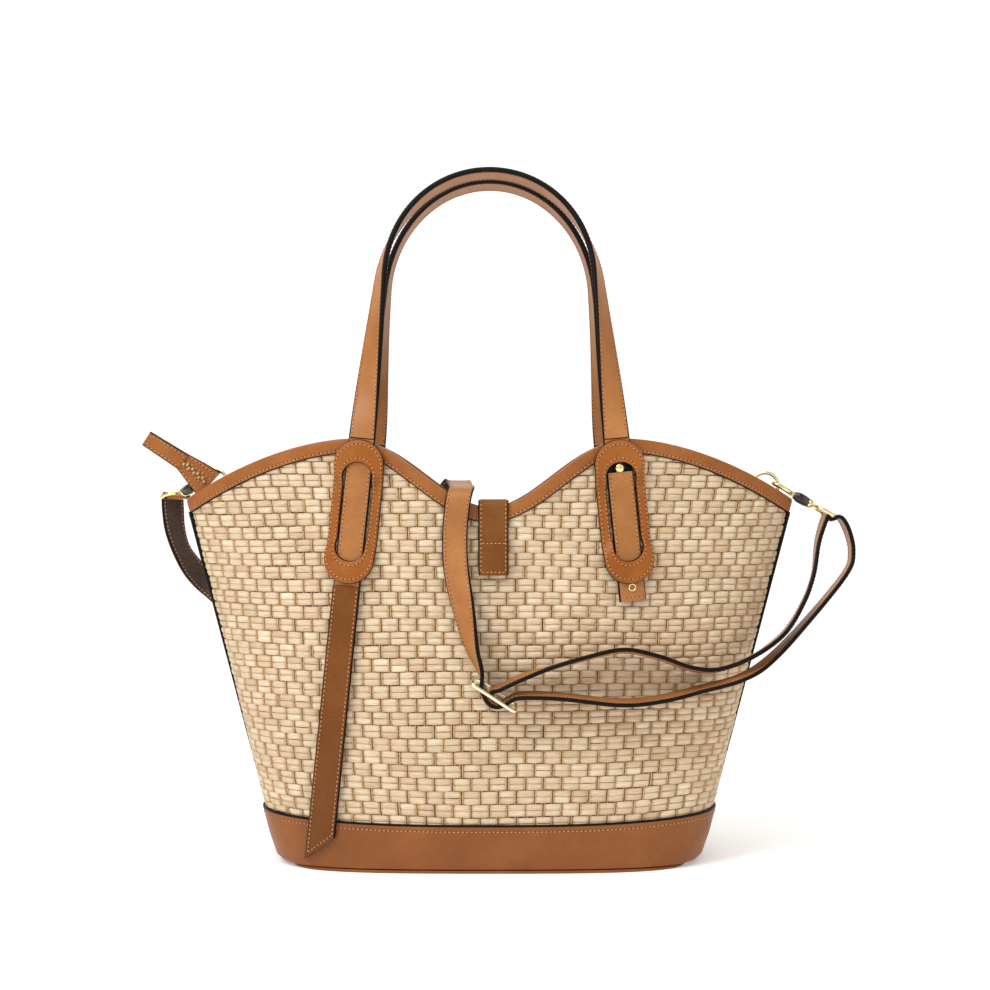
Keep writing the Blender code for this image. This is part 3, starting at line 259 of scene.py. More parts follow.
def leather_material(name, dark, middle, light, shine=0.22):
    """Pigmented cowhide, smooth-pressed: warm brown, clouded, a fine pebble that breaks its sheen."""
    roughness, grain = 0.42, 0.05 * MM
    m, shader = new_material(name, roughness, Specular_IOR_Level=shine, Coat_Weight=shine / 5,
                             Coat_Roughness=0.35)
    place = place_of(m)
    clouds = add(m, "ShaderNodeTexNoise", {"Scale": 28.0, "Detail": 5.0, "Roughness": 0.62}, Vector=place)
    pores = add(m, "ShaderNodeTexVoronoi", {"Scale": 1250.0, "Randomness": 0.9}, Vector=place)
    mottle = add(m, "ShaderNodeTexNoise", {"Scale": 520.0, "Detail": 2.0}, Vector=place)
    mixed = add(m, "ShaderNodeMath", {"operation": "MULTIPLY_ADD", 1: 0.30}, i0=mottle.outputs["Fac"],
                i2=clouds.outputs["Fac"])
    paint(m, shader, ramp(m, mixed.outputs["Value"], [(0.36, dark), (0.64, middle), (0.94, light)]))
    rough = add(m, "ShaderNodeMapRange", {"To Min": roughness - 0.07, "To Max": roughness + 0.12},
                Value=mottle.outputs["Fac"])
    paint(m, shader, rough.outputs["Result"], "Roughness")
    bump(m, shader, pores.outputs["Distance"], grain, 0.7)
    return m


def plated_material(name, code, dark, roughness):
    """Polished zinc casting with a thin plating: a clean mirror with the faintest haze."""
    m, shader = new_material(name, roughness, 1.0)
    noise = add(m, "ShaderNodeTexNoise", {"Scale": 140.0, "Detail": 3.0}, Vector=place_of(m))
    paint(m, shader, ramp(m, noise.outputs["Fac"], [(0.3, dark), (0.7, code)]))
    rough = add(m, "ShaderNodeMapRange", {"To Min": roughness * 0.7, "To Max": roughness * 1.5},
                Value=noise.outputs["Fac"])
    paint(m, shader, rough.outputs["Result"], "Roughness")
    return m


def canvas_material(name, dark, light, threads=900.0):
    """Plain-woven cotton: matt, over-and-under threads just visible close to."""
    m, shader = new_material(name, 0.88, Sheen_Weight=0.15)
    place = place_of(m)
    warp = add(m, "ShaderNodeTexWave", {"Scale": threads / 6.0, "bands_direction": "X"}, Vector=place)
    weft = add(m, "ShaderNodeTexWave", {"Scale": threads / 6.0, "bands_direction": "Z"}, Vector=place)
    both = add(m, "ShaderNodeMath", {"operation": "MULTIPLY"}, i0=warp.outputs["Fac"],
               i1=weft.outputs["Fac"])
    noise = add(m, "ShaderNodeTexNoise", {"Scale": 60.0, "Detail": 4.0}, Vector=place)
    mixed = add(m, "ShaderNodeMath", {"operation": "MULTIPLY_ADD", 1: 0.35}, i0=both.outputs["Value"],
                i2=noise.outputs["Fac"])
    paint(m, shader, ramp(m, mixed.outputs["Value"], [(0.35, dark), (0.80, light)]))
    bump(m, shader, both.outputs["Value"], 0.10 * MM, 0.5)
    return m


STRAW = straw_material()
# twisted brown cotton that ties the straw: matt, a little darker than it
THREAD = grained("twisted_cotton_thread", 0.8, 900.0, 1.0, [(0.35, "#A47F54"), (0.65, "#C9A87E")])
# dark brown cotton sheet behind the weave; its dark colour is painted shade, showing only in the gaps between
# the straws
BACKING = grained("backing_sheet_painted_gap_shade", 0.9, 400.0, 2.0, [(0.35, "#553A20"), (0.65, "#74532F")])
LEATHER = leather_material("tan_cowhide", "#7A451B", "#8C5222", "#9E6431")
PLATE_LEATHER = leather_material("tan_cowhide_plates", "#7E4310", "#8E5017", "#9F6124")
BAND_LEATHER = leather_material("tan_cowhide_base", "#74421C", "#804A20", "#8D562A")
STRAP_LEATHER = leather_material("tan_cowhide_straps", "#8A5424", "#9C6430", "#AE7540", 0.34)
# darker copy of the strap leather for the tail and the closing tab: painted shade, as these lie in shadow
SHADED_TAIL_LEATHER = leather_material("tan_cowhide_tail_painted_shade", "#60350F", "#6A3C12", "#784A1E", 0.16)
# acrylic edge paint: black, built up in coats to a soft shine
EDGE = grained("black_edge_paint", 0.42, 260.0, 2.0, [(0.3, "#060505"), (0.7, "#0E0C0A")], (0.12 * MM, 0.35),
               Specular_IOR_Level=0.12)
# dark dyed back of the straps: split suede, no shine
FLESH = grained("dyed_split_back", 0.82, 700.0, 3.0, [(0.3, "#2A1D16"), (0.7, "#4A362A")], (0.08 * MM, 0.6),
                Sheen_Weight=0.2)
# waxed polyester thread: tan with a faint shine
STITCH = grained("waxed_thread", 0.5, 1500.0, 1.0, [(0.35, "#A9683A"), (0.65, "#CC9060")])
GOLD = plated_material("pale_gold_plate", "#F1E3B0", "#E2CF92", 0.12)
BUCKLE_GOLD = plated_material("bright_gold_plate", "#FAF4D6", "#F0E6BE", 0.10)
# dark grey plating: on the hook barrels this dark grey is a painted reflection; it also dresses the panel
# magnet
DARK_METAL_AND_REFLECTION = plated_material("dark_plate_and_painted_reflection", "#5E5C55", "#3C3A35", 0.22)
LINING = canvas_material("cotton_twill_lining", "#8F7350", "#B4966E")
ZIP_TAPE = canvas_material("woven_zip_tape", "#4A2E1A", "#6B4527", 1400.0)
TOOTH = plated_material("brass_zip_teeth", "#D9C48A", "#B79F66", 0.25)


# ---- the wall of the bag --------------------------------------------------------------------------
def half_width(z):
    """Half of the panel's width at a height: its sides are straight and lean outwards."""
    return lerp(BASE_WIDTH, CORNER_WIDTH, z / CORNER_HEIGHT) / 2


def half_depth(z):
    """Half of the body's depth at a height, bowed between base and rim."""
    t = np.minimum(z / CORNER_HEIGHT, 1.0)
    return lerp(BASE_DEPTH, RIM_DEPTH, t) / 2 + BELLY * 4 * t * (1 - t)


def wall_depth(x, z):
    """Distance from the seam plane to the face of the straw."""
    t = smooth(z / CORNER_HEIGHT)
    p = lerp(BASE_SQUARENESS, RIM_SQUARENESS, t)
    q = lerp(BASE_SQUARENESS, RIM_BLUNTNESS, t)
    u = np.minimum(np.abs(x) / half_width(z), 1.0)
    return half_depth(z) * (1.0 - u ** p) ** (1.0 / q)


def sag(x, z):
    """Soft hollows and creases where the straw gives: beside the closing tab and under the plates."""
    hollow = 2.6 * MM * np.exp(-((x - 0.035) / 0.030) ** 2 - ((z - 0.205) / 0.022) ** 2)
    crease = 1.2 * MM * np.exp(-((z - 0.186 + 0.30 * (x - 0.01)) / 0.006) ** 2 - ((x - 0.02) / 0.045) ** 2)
    left = 1.2 * MM * np.exp(-((x + 0.045) / 0.030) ** 2 - ((z - 0.165) / 0.05) ** 2)
    waves = 0.5 * MM * np.sin(x / 0.047 + 1.1) * np.sin(z / 0.031 + 0.4)
    low = smooth((z - 0.045) / 0.03) * smooth((0.240 - z) / 0.02) * smooth((half_width(z) - np.abs(x)) / 0.03)
    return (hollow + crease + left + waves) * low


TABLE_S, TABLE_Z, TABLE_TOP = 241, 151, 0.300


def wall_table():
    """Wall x and y over even steps of s (share of the way from seam to seam) and of height."""
    turn = np.sin(np.linspace(-math.pi / 2, math.pi / 2, 481))
    share = np.linspace(0, 1, TABLE_S)
    xs, ys, runs = [], [], []
    for z in np.linspace(0, TABLE_TOP, TABLE_Z):
        x = half_width(z) * turn
        y = -(wall_depth(x, z) - sag(x, z))
        run = np.concatenate([[0.0], np.cumsum(np.hypot(np.diff(x), np.diff(y)))])
        xs.append(np.interp(share * run[-1], run, x))
        ys.append(np.interp(share * run[-1], run, y))
        runs.append(run[-1])
    return np.array(xs), np.array(ys), np.array(runs)


WALL_X, WALL_Y, WALL_RUN = wall_table()


def sample(table, s, z):
    """Value of a table at any s and height, mixed from the four entries round it."""
    a = np.clip(s, 0, 1) * (TABLE_S - 1)
    b = np.clip(z / TABLE_TOP, 0, 1) * (TABLE_Z - 1)
    i = np.minimum(a.astype(int), TABLE_S - 2)
    j = np.minimum(b.astype(int), TABLE_Z - 2)
    fa, fb = a - i, b - j
    low = table[j, i] * (1 - fa) + table[j, i + 1] * fa
    high = table[j + 1, i] * (1 - fa) + table[j + 1, i + 1] * fa
    return low * (1 - fb) + high * fb


def run_at(z):
    """Length of the wall from seam to seam at a height."""
    return np.interp(z, np.linspace(0, TABLE_TOP, TABLE_Z), WALL_RUN)


def round_foot(x, z):
    """Draws the ends of the base in towards the floor, so that its lower corners are round."""
    near = np.clip(1 - z / FOOT_RADIUS, 0.0, 1.0)
    inset = FOOT_RADIUS * (1 - np.sqrt(1 - near ** 2))
    return x * (1 - inset / half_width(z) * np.abs(x / half_width(z)) ** 6)


def wall(s, z, height=0.0):
    """Points of the front wall, raised out of the straw by height."""
    s, z, height = np.broadcast_arrays(np.asarray(s, float), np.asarray(z, float), np.asarray(height, float))
    s = np.clip(s, 0, 1)
    x, y = sample(WALL_X, s, z), sample(WALL_Y, s, z)
    before, after = np.clip(s - 0.004, 0, 1), np.clip(s + 0.004, 0, 1)
    dx = sample(WALL_X, after, z) - sample(WALL_X, before, z)
    dy = sample(WALL_Y, after, z) - sample(WALL_Y, before, z)
    length = np.hypot(dx, dy)
    return np.stack([round_foot(x + dy / length * height, z), y - dx / length * height, z], axis=-1)


def lay(x, z, height=0.0):
    """Points of the front wall by their x."""
    x, z, height = np.broadcast_arrays(np.asarray(x, float), np.asarray(z, float), np.asarray(height, float))
    step = 1.0 * MM
    slope = (wall_depth(x - step, z) - wall_depth(x + step, z)) / (2 * step)
    length = np.hypot(slope, 1.0)
    return np.stack([x + slope / length * height, -wall_depth(x, z) - height / length, z], axis=-1)


def rim_height(x):
    """Top of the binding."""
    x = np.abs(x)
    dip = lerp(DIP_HEIGHT, PEAK_HEIGHT, smooth(x / PEAK_X))
    t = np.clip((x - PEAK_X) / (CORNER_WIDTH / 2 - PEAK_X), 0.0, 1.2)
    return np.where(x < PEAK_X, dip, lerp(PEAK_HEIGHT, CORNER_HEIGHT, t ** WING_POWER))


def rim(s):
    """Height of the straw's edge under the binding's fold."""
    s = np.asarray(s, float)
    z = np.full_like(s, CORNER_HEIGHT)
    for _ in range(12):
        z = rim_height(wall(s, z)[..., 0]) - BINDING - GAP
    return z


RIM_S = np.linspace(0.0, 1.0, 801)
RIM_Z = rim(RIM_S)


def band_top(s):
    """Height of the band's top edge, which rises towards the side seams."""
    x = wall(s, np.full_like(np.asarray(s, float), BAND_HEIGHT))[..., 0]
    return BAND_HEIGHT + BAND_RISE * np.abs(x / half_width(BAND_HEIGHT)) ** 2.5


def tag(side, out, down, height, face=FRONT):
    """Points by a plate's own axes: out from its middle line, down from its top."""
    x = TAG_X + down * math.sin(TAG_TILT) + out * math.cos(TAG_TILT)
    z = rim_height(TAG_X) - down * math.cos(TAG_TILT) + out * math.sin(TAG_TILT)
    points = lay(side * x, z, height)
    points[..., 1] *= face
    return points


# ---- meshes ---------------------------------------------------------------------------------------
def make_object(name, points, faces, materials, paints=None, uv=None, attributes=None, crease=35):
    """Smooth mesh; paints is each face's material, and edges bent more than crease degrees stay sharp."""
    mesh = bpy.data.meshes.new(name)
    mesh.from_pydata([tuple(p) for p in points], [], [tuple(f) for f in faces])
    for material in materials:
        mesh.materials.append(material)
    if paints is not None:
        mesh.polygons.foreach_set("material_index", np.asarray(paints, dtype=np.int32))
    if uv is not None:
        layer = mesh.uv_layers.new(name="UVMap")
        loops = np.zeros(len(mesh.loops), dtype=np.int32)
        mesh.loops.foreach_get("vertex_index", loops)
        layer.data.foreach_set("uv", np.asarray(uv, dtype=np.float32)[loops].ravel())
    for key, values in (attributes or {}).items():
        attribute = mesh.attributes.new(key, "FLOAT", "POINT")
        attribute.data.foreach_set("value", np.asarray(values, dtype=np.float32))
    mesh.shade_smooth()
    if crease:
        mesh.set_sharp_from_angle(angle=math.radians(crease))
    obj = bpy.data.objects.new(name, mesh)
    bpy.context.scene.collection.objects.link(obj)
    return obj


def face_out(obj):
    """Makes a closed piece's faces point outwards."""
    bm = bmesh.new()
    bm.from_mesh(obj.data)
    bmesh.ops.recalc_face_normals(bm, faces=bm.faces)
    bm.to_mesh(obj.data)
    bm.free()
    return obj


def grid_faces(rows, columns, wrap_rows=False, wrap_columns=False):
    """Quads over a grid of points stored row by row."""
    r = np.arange(rows if wrap_rows else rows - 1)
    c = np.arange(columns if wrap_columns else columns - 1)
    r, c = np.meshgrid(r, c, indexing="ij")
    r2, c2 = (r + 1) % rows, (c + 1) % columns
    return np.stack([r * columns + c, r * columns + c2, r2 * columns + c2, r2 * columns + c],
                    axis=-1).reshape(-1, 4)


def loft(name, loops, materials, section_paint, ring=False, cap_paint=1):
    """Closed piece through loops of points; section_paint gives each side's material."""
    loops = np.asarray(loops, dtype=float)
    rows, columns = loops.shape[:2]
    faces = [tuple(f) for f in grid_faces(rows, columns, ring, True)]
    paints = [section_paint[k % columns] for k in range(len(faces))]
    if not ring:
        faces += [tuple(range(columns)), tuple(range((rows - 1) * columns, rows * columns))]
        paints += [cap_paint, cap_paint]
    run = np.concatenate([[0], np.cumsum(np.linalg.norm(np.diff(loops.mean(axis=1), axis=0), axis=1))])
    girth = np.linalg.norm(np.roll(loops[0], -1, axis=0) - loops[0], axis=1)
    girth = np.concatenate([[0], np.cumsum(girth)[:-1]])
    uv = np.stack(np.meshgrid(run, girth, indexing="ij"), axis=-1).reshape(-1, 2)
    obj = make_object(name, loops.reshape(-1, 3), faces, materials, paints, uv)
    return face_out(obj)


def bevelled_section(width, thickness, radius, columns):
    """Outline of a strap's cut with rounded edges, and each side's material: 0 grain, 1 edge, 2 back."""
    half, deep = width / 2, thickness / 2
    across = np.linspace(-(half - radius), half - radius, columns + 1)
    top = [(a, deep) for a in across]
    arc = [math.pi / 2 * k / 4 for k in range(5)]
    right = [(half - radius + radius * math.sin(t), deep * math.cos(t)) for t in arc]
    right += [(half - radius + radius * math.cos(t), -deep * math.sin(t)) for t in arc[1:]]
    bottom = [(-a, -deep) for a in across]
    left = [(-a, -b) for a, b in right]
    points = top[:-1] + right[:-1] + bottom[:-1] + left[:-1]
    paints = [0] * columns + [1] * (len(right) - 1) + [2] * columns + [1] * (len(left) - 1)
    return points, paints


def strap_frames(points, across):
    """Width and thickness directions at each point of a strap."""
    points = np.asarray([tuple(p) for p in points])
    across = np.asarray([tuple(a) for a in across])
    ahead = np.gradient(points, axis=0)
    ahead /= np.linalg.norm(ahead, axis=1)[:, None]
    side = across - ahead * np.sum(across * ahead, axis=1)[:, None]
    side /= np.linalg.norm(side, axis=1)[:, None]
    up = np.cross(side, ahead)
    return points, ahead, side, up


def strap(name, points, across, width, thickness, materials, taper=None, columns=4,
          radius=EDGE_ROUND):
    """Leather strap with rounded painted edges; materials are grain side, edge and back."""
    points, _, side, up = strap_frames(points, across)
    section, paints = bevelled_section(1.0, thickness, radius / width, columns)
    section = np.array(section)
    widths = np.full(len(points), width) if taper is None else width * np.asarray(taper)
    loops = (points[:, None, :] + side[:, None, :] * (section[None, :, 0] * widths[:, None])[..., None]
             + up[:, None, :] * section[None, :, 1, None])
    return loft(name, loops, materials, paints)


def resample(points, spacing):
    """Even steps along a path; rows may hold more than a place, such as a direction."""
    points = np.asarray(points, dtype=float)
    steps = np.linalg.norm(np.diff(points[:, :3], axis=0), axis=1)
    run = np.concatenate([[0], np.cumsum(steps)])
    count = max(int(round(run[-1] / spacing)), 2)
    at = np.linspace(0, run[-1], count + 1)
    return np.stack([np.interp(at, run, points[:, k]) for k in range(points.shape[1])], axis=-1)


def smooth_path(points, steps):
    """Catmull-Rom curve through rows of numbers."""
    rows = [np.array(p, dtype=float) for p in points]
    rows = [2 * rows[0] - rows[1]] + rows + [2 * rows[-1] - rows[-2]]
    path = []
    for a, b, c, d in zip(rows, rows[1:], rows[2:], rows[3:]):
        for k in range(steps):
            t = k / steps
            path.append(0.5 * (2 * b + (c - a) * t + (2 * a - 5 * b + 4 * c - d) * t ** 2
                               + (3 * b - a - 3 * c + d) * t ** 3))
    path.append(rows[-2])
    return np.array(path)


def stitch_cell():
    """One raised stitch and a black dot after it, painted shade of the needle hole: points, faces, materials
    and reach along the seam.
    """
    ring = [(math.cos(math.pi * k / 3), math.sin(math.pi * k / 3)) for k in range(6)]
    profile = ((-0.5, 0.30, -0.30), (-0.30, 0.85, 0.30), (0.0, 1.0, 0.50), (0.30, 0.85, 0.30),
               (0.5, 0.30, -0.30))
    thread = [(a, r * c, lift + 0.5 * r * s) for a, r, lift in profile for c, s in ring]
    # the needle hole is a small black solid: painted shade of the hole
    hole = [(0.5 + HOLE_REACH * c, 0.85 * s, 0.20) for c, s in ring]
    hole_foot = [(a, r, -0.30) for a, r, _ in hole]
    mouth, foot, end = len(thread), len(thread) + 6, len(thread) + 12
    faces = [tuple(f) for f in grid_faces(len(profile), 6, False, True)]
    faces += [tuple(range(5, -1, -1)), tuple(range(mouth - 6, mouth))]
    hole_faces = [tuple(range(mouth, foot)), tuple(range(end - 1, foot - 1, -1))]
    hole_faces += [(mouth + k, foot + k, foot + (k + 1) % 6, mouth + (k + 1) % 6) for k in range(6)]
    reach = np.where(np.arange(end) < mouth, STITCH_LENGTH, STITCH_PITCH)[:, None]
    return (np.array(thread + hole + hole_foot), faces + hole_faces,
            [0] * len(faces) + [1] * len(hole_faces), reach)


def stitches(name, paths):
    """Rows of short raised stitches with black dots between, painted shade of the needle holes; a path is
    places and directions out.
    """
    cell, cell_faces, cell_paints, reach = stitch_cell()
    places, faces, paints = [], [], []
    for path, outward in paths:
        rows = resample(np.hstack([path, outward]), STITCH_PITCH)
        middle = (rows[:-1] + rows[1:]) / 2
        ahead = rows[1:, :3] - rows[:-1, :3]
        ahead /= np.linalg.norm(ahead, axis=1)[:, None]
        out = middle[:, 3:6]
        out = out - ahead * np.sum(out * ahead, axis=1)[:, None]
        out /= np.linalg.norm(out, axis=1)[:, None]
        side = np.cross(out, ahead)
        slant = ahead + side * 0.10
        for k in range(len(middle)):
            start = len(places) * len(cell)
            places.append(middle[k, :3] + cell[:, :1] * slant[k] * reach
                          + cell[:, 1:2] * side[k] * STITCH_WIDTH / 2
                          + cell[:, 2:3] * out[k] * STITCH_WIDTH / 2)
            faces += [tuple(i + start for i in f) for f in cell_faces]
            paints += cell_paints
    obj = make_object(name, np.concatenate(places), faces, [STITCH, EDGE], paints, crease=0)
    return face_out(obj)


def to_side(side, *pieces):
    """Leaves pieces made for the front as they are, or turns them into their twins at the rear."""
    if side == REAR:
        for obj in pieces:
            obj.data.transform(Matrix.Scale(-1, 4, Y_WAY))
            obj.data.flip_normals()


def attach(obj, body, slot, *nodes):
    """Says which body moves a piece and hides the frame's nodes that it replaces; its slot, what it is made
    of, is not used.
    """
    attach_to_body(obj, body)
    if nodes:
        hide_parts(*nodes)
    return obj


# ---- woven panels ---------------------------------------------------------------------------------
def brick_cell(round_off):
    """One flat straw of a brick: crowned both ways, its ends diving under the threads that tie it down.

    Returns shares of the brick along and across, the height off the wall and how far each point dives.
    """
    along = np.array([-0.5, -0.44, -0.385, -0.29, 0.0, 0.29, 0.385, 0.44, 0.5])
    crown = np.array([-1.60, -0.92, -0.28, 0.18, 0.36, 0.18, -0.28, -0.92, -1.60]) * MM
    across = np.array([0.0, 0.12, 0.5, 0.88, 1.0])
    a, b = np.meshgrid(along, across, indexing="ij")
    height = crown[:, None] + np.array(round_off)[None, :] * MM
    pinch = 1 - 0.14 * np.abs(2 * a) ** 5
    return a, 0.5 + (b - 0.5) * pinch, height, np.clip(-crown / (1.6 * MM), 0, 1)[:, None] * np.ones_like(b)


def row_height(row, s):
    """Height of a row's lower edge: the lowest rows follow the band, higher ones run nearly level."""
    lift = BAND_RISE * np.abs(2 * s - 1) ** 2.5
    ease = np.clip(1 - row / 14.0, 0, 1)
    drift = 0.6 * MM * np.sin(9.0 * s + 0.22 * row) + 0.35 * MM * np.sin(23.0 * s + 0.40 * row)
    return BAND_HEIGHT - 0.4 * ROW_HEIGHT + row * ROW_HEIGHT + lift * ease + drift


def make_weave(side, word):
    """One panel: a crowned straw for every strand, tied by pairs of threads, on its backing."""
    rng = np.random.default_rng(11 if side == FRONT else 12)
    lower = brick_cell((-0.85, -0.20, 0.20, 0.05, -0.35))
    upper = brick_cell((-0.35, 0.05, 0.20, -0.20, -0.85))
    a = lower[0]
    cell_faces = grid_faces(*a.shape)
    rows = int((PEAK_HEIGHT - BAND_HEIGHT) / ROW_HEIGHT) + 2
    points, faces, uvs, tones, shades = [], [], [], [], []
    thread_points, thread_faces = [], []
    total, thread_total = 0, 0
    for row in range(rows):
        level = BAND_HEIGHT + (row + 0.1) * ROW_HEIGHT
        run = float(run_at(min(level, TABLE_TOP)))
        count = int(run / 2 / BRICK_WIDTH) + 2
        offset = 0.5 if row % 2 else 0.0
        for k in range(-count, count + 1):
            centre = 0.5 + (k + offset) * BRICK_WIDTH / run
            if centre < -0.5 * BRICK_WIDTH / run or centre > 1 + 0.5 * BRICK_WIDTH / run:
                continue
            edge = float(rim(np.array([np.clip(centre, 0.001, 0.999)]))[0])
            if level > edge + 0.2 * ROW_HEIGHT:
                continue
            # every brick has its own tone, a slip of about 0.25 mm, and a size some 3 % off the mean
            tone_brick = rng.normal(0, 0.045)
            centre += rng.normal(0, 0.25) * MM / run
            wide, tall = 1 + rng.normal(0, 0.035), 1 + rng.normal(0, 0.03)
            for strand, (a, b, lift, dip) in enumerate((lower, upper)):
                tone = 0.5 + tone_brick + rng.normal(0, 0.07)
                wobble = rng.normal(0, 0.10 * MM, 3)
                s = centre + a * BRICK_WIDTH * wide / run
                inner = 0.03 if strand == 0 else 0.01
                z = row_height(row, s) + ROW_HEIGHT / 2 + (
                    strand - 1 + inner + 0.96 * b) * ROW_HEIGHT / STRANDS * tall
                z = z + wobble[0] * np.cos(math.pi * a) + wobble[2] * a
                height = lift + wobble[1]
                s = np.clip(s, 0.0015, 0.9985)
                z = np.minimum(z, np.interp(s, RIM_S, RIM_Z) - 0.5 * MM)
                points.append(wall(s, z, height).reshape(-1, 3))
                faces.append(cell_faces + total)
                total += a.size
                shift = rng.uniform(0, 3)
                uvs.append(np.stack([(a * BRICK_WIDTH + shift).ravel(),
                                     (b * ROW_HEIGHT / STRANDS + shift * 0.37).ravel()], axis=-1))
                tones.append(np.full(a.size, np.clip(tone, 0.05, 0.95)))
                # painted shade: darker where the straw dives under the threads and along its long edges
                shade = 1 - 0.75 * dip - 0.28 * (np.abs(2 * b - 1) ** 6)
                shades.append(np.clip(shade, 0, 1).ravel())
            for pair in (-1, 1):
                place = centre + (0.5 * BRICK_WIDTH + pair * THREAD_SPACING / 2
                                  + rng.normal(0, 0.08) * MM) / run
                if not 0.004 < place < 0.996:
                    continue
                steps = np.linspace(0, 1, 6)
                lean = rng.normal(0, 0.10) * MM / run
                middle = place + lean * (steps - 0.5)
                z = row_height(row, middle) + (steps * 1.30 - 0.15) * ROW_HEIGHT
                z = np.minimum(z, np.interp(middle, RIM_S, RIM_Z) - 0.5 * MM)
                arch = -1.65 * MM + 1.35 * MM * np.sin(math.pi * steps) ** 0.6
                around = [(-0.5, -0.45), (-0.32, 0.05), (0.0, 0.22), (0.32, 0.05), (0.5, -0.45)]
                ribs = np.stack([wall(middle + dx * THREAD_WIDTH / run, z, arch + dh * THREAD_WIDTH)
                                 for dx, dh in around], axis=1)
                thread_points.append(ribs.reshape(-1, 3))
                thread_faces.append(grid_faces(*ribs.shape[:2]) + thread_total)
                thread_total += len(thread_points[-1])
    straw = make_object("weave_straw_" + word, np.concatenate(points), np.concatenate(faces)[:, ::-1],
                        [STRAW], uv=np.concatenate(uvs), crease=0,
                        attributes={"tone": np.concatenate(tones), "shade": np.concatenate(shades)})
    threads = make_object("weave_thread_" + word, np.concatenate(thread_points),
                          np.concatenate(thread_faces)[:, ::-1], [THREAD], crease=0)
    # the backing's dark colour is painted shade in the gaps between the straws
    backing = panel_sheet("weave_backing_" + word, -1.6 * MM, -2.3 * MM, BACKING)
    to_side(side, straw, threads, backing)
    attach(straw, "bag", "straw", word + "_panel")
    attach(threads, "bag", "straw")
    attach(backing, "bag", "straw")


def panel_sheet(name, outer, inner, material, low=BAND_FOOT, relief=None):
    """Closed sheet that follows the wall from its foot to the rim."""
    columns, rows = 96, 48
    s = np.linspace(0.0012, 0.9988, columns + 1)
    top = rim(s) - 0.4 * MM
    t = np.linspace(0, 1, rows + 1)[:, None]
    z = low + (top - low)[None, :] * t
    s = np.broadcast_to(s, z.shape)
    wave = 0.0 if relief is None else relief(s, z)
    face, back = wall(s, z, outer + wave), wall(s, z, inner + wave)
    loops = np.concatenate([face, back[::-1]], axis=0).transpose(1, 0, 2)
    return loft(name, loops, [material], [0] * loops.shape[1], cap_paint=0)


def lining_relief(s, z):
    """Loose folds of the lining, slack between its seams."""
    fold = np.sin(s * 46 + 2.2 * np.sin(z * 21)) * np.sin(s * 17 + 0.8)
    slack = (smooth((z - 0.010) / 0.05) * smooth((0.250 - z) / 0.06)
             * smooth(s / 0.10) * smooth((1 - s) / 0.10))
    return -1.6 * MM * (fold * 0.5 + 0.5) * slack


def make_linings():
    """Loose cloth inside each panel, and the cloth of the floor."""
    for side, word in SIDES:
        obj = panel_sheet("lining_cloth_" + word, -4.2 * MM, -5.1 * MM, LINING, low=6.0 * MM,
                          relief=lining_relief)
        to_side(side, obj)
        attach(obj, "bag", "lining_fabric", "lining_" + word)
    floor = base_plate("lining_floor_cloth", 4.6 * MM, 1.0 * MM, -2.7 * MM, 0.3 * MM, LINING)
    attach(floor, "bag", "lining_fabric", "lining_floor")


def base_plate(name, bottom, thickness, reach, round_edge, material):
    """Flat piece with the plan of the base and softened edges."""
    s = np.linspace(0, 1, 121)
    loops = []
    for rise, draw in ((0.0, round_edge), (round_edge, 0.0), (thickness - round_edge, 0.0),
                       (thickness, round_edge)):
        front = wall(s, 0.0, reach - draw)
        front[:, 2] = bottom + rise
        rear = front[::-1] * np.array([1, -1, 1])
        loops.append(np.concatenate([front[1:-1], rear[1:-1]]))
    columns = len(loops[0])
    return loft(name, loops, [material, material], [0] * columns, cap_paint=0)


# ---- leather trim of the body ---------------------------------------------------------------------
def make_band(side, word):
    """Leather band round the base, its top edge turned and stitched."""
    s = np.linspace(SEAM_S, 1 - SEAM_S, 161)
    top = band_top(s) - 0.1 * MM
    foot = BAND_FOOT + 0.1 * MM
    section = [(0.0, 0.5), (0.02, 1.75), (0.10, 2.1), (0.5, 2.25), (0.90, 2.2), (0.955, 2.2), (0.985, 2.05),
               (1.0, 1.5), (1.0, 0.35), (0.5, 0.3), (0.0, 0.3)]
    loops = np.stack([wall(s, foot + (top - foot) * share, height * MM) for share, height in section], axis=1)
    paints = [0] * 5 + [1, 1, 1] + [0] * 3
    band = loft("band_leather_" + word, loops, [BAND_LEATHER, EDGE], paints, cap_paint=0)
    z = top - 4.7 * MM
    face = wall(s, z, 2.22 * MM)
    thread = stitches("band_stitches_" + word, [(face, face - wall(s, z, 0.0))])
    to_side(side, band, thread)
    attach(band, "bag", "tan_leather", "base_band_" + word)
    attach(thread, "bag", "tan_leather")


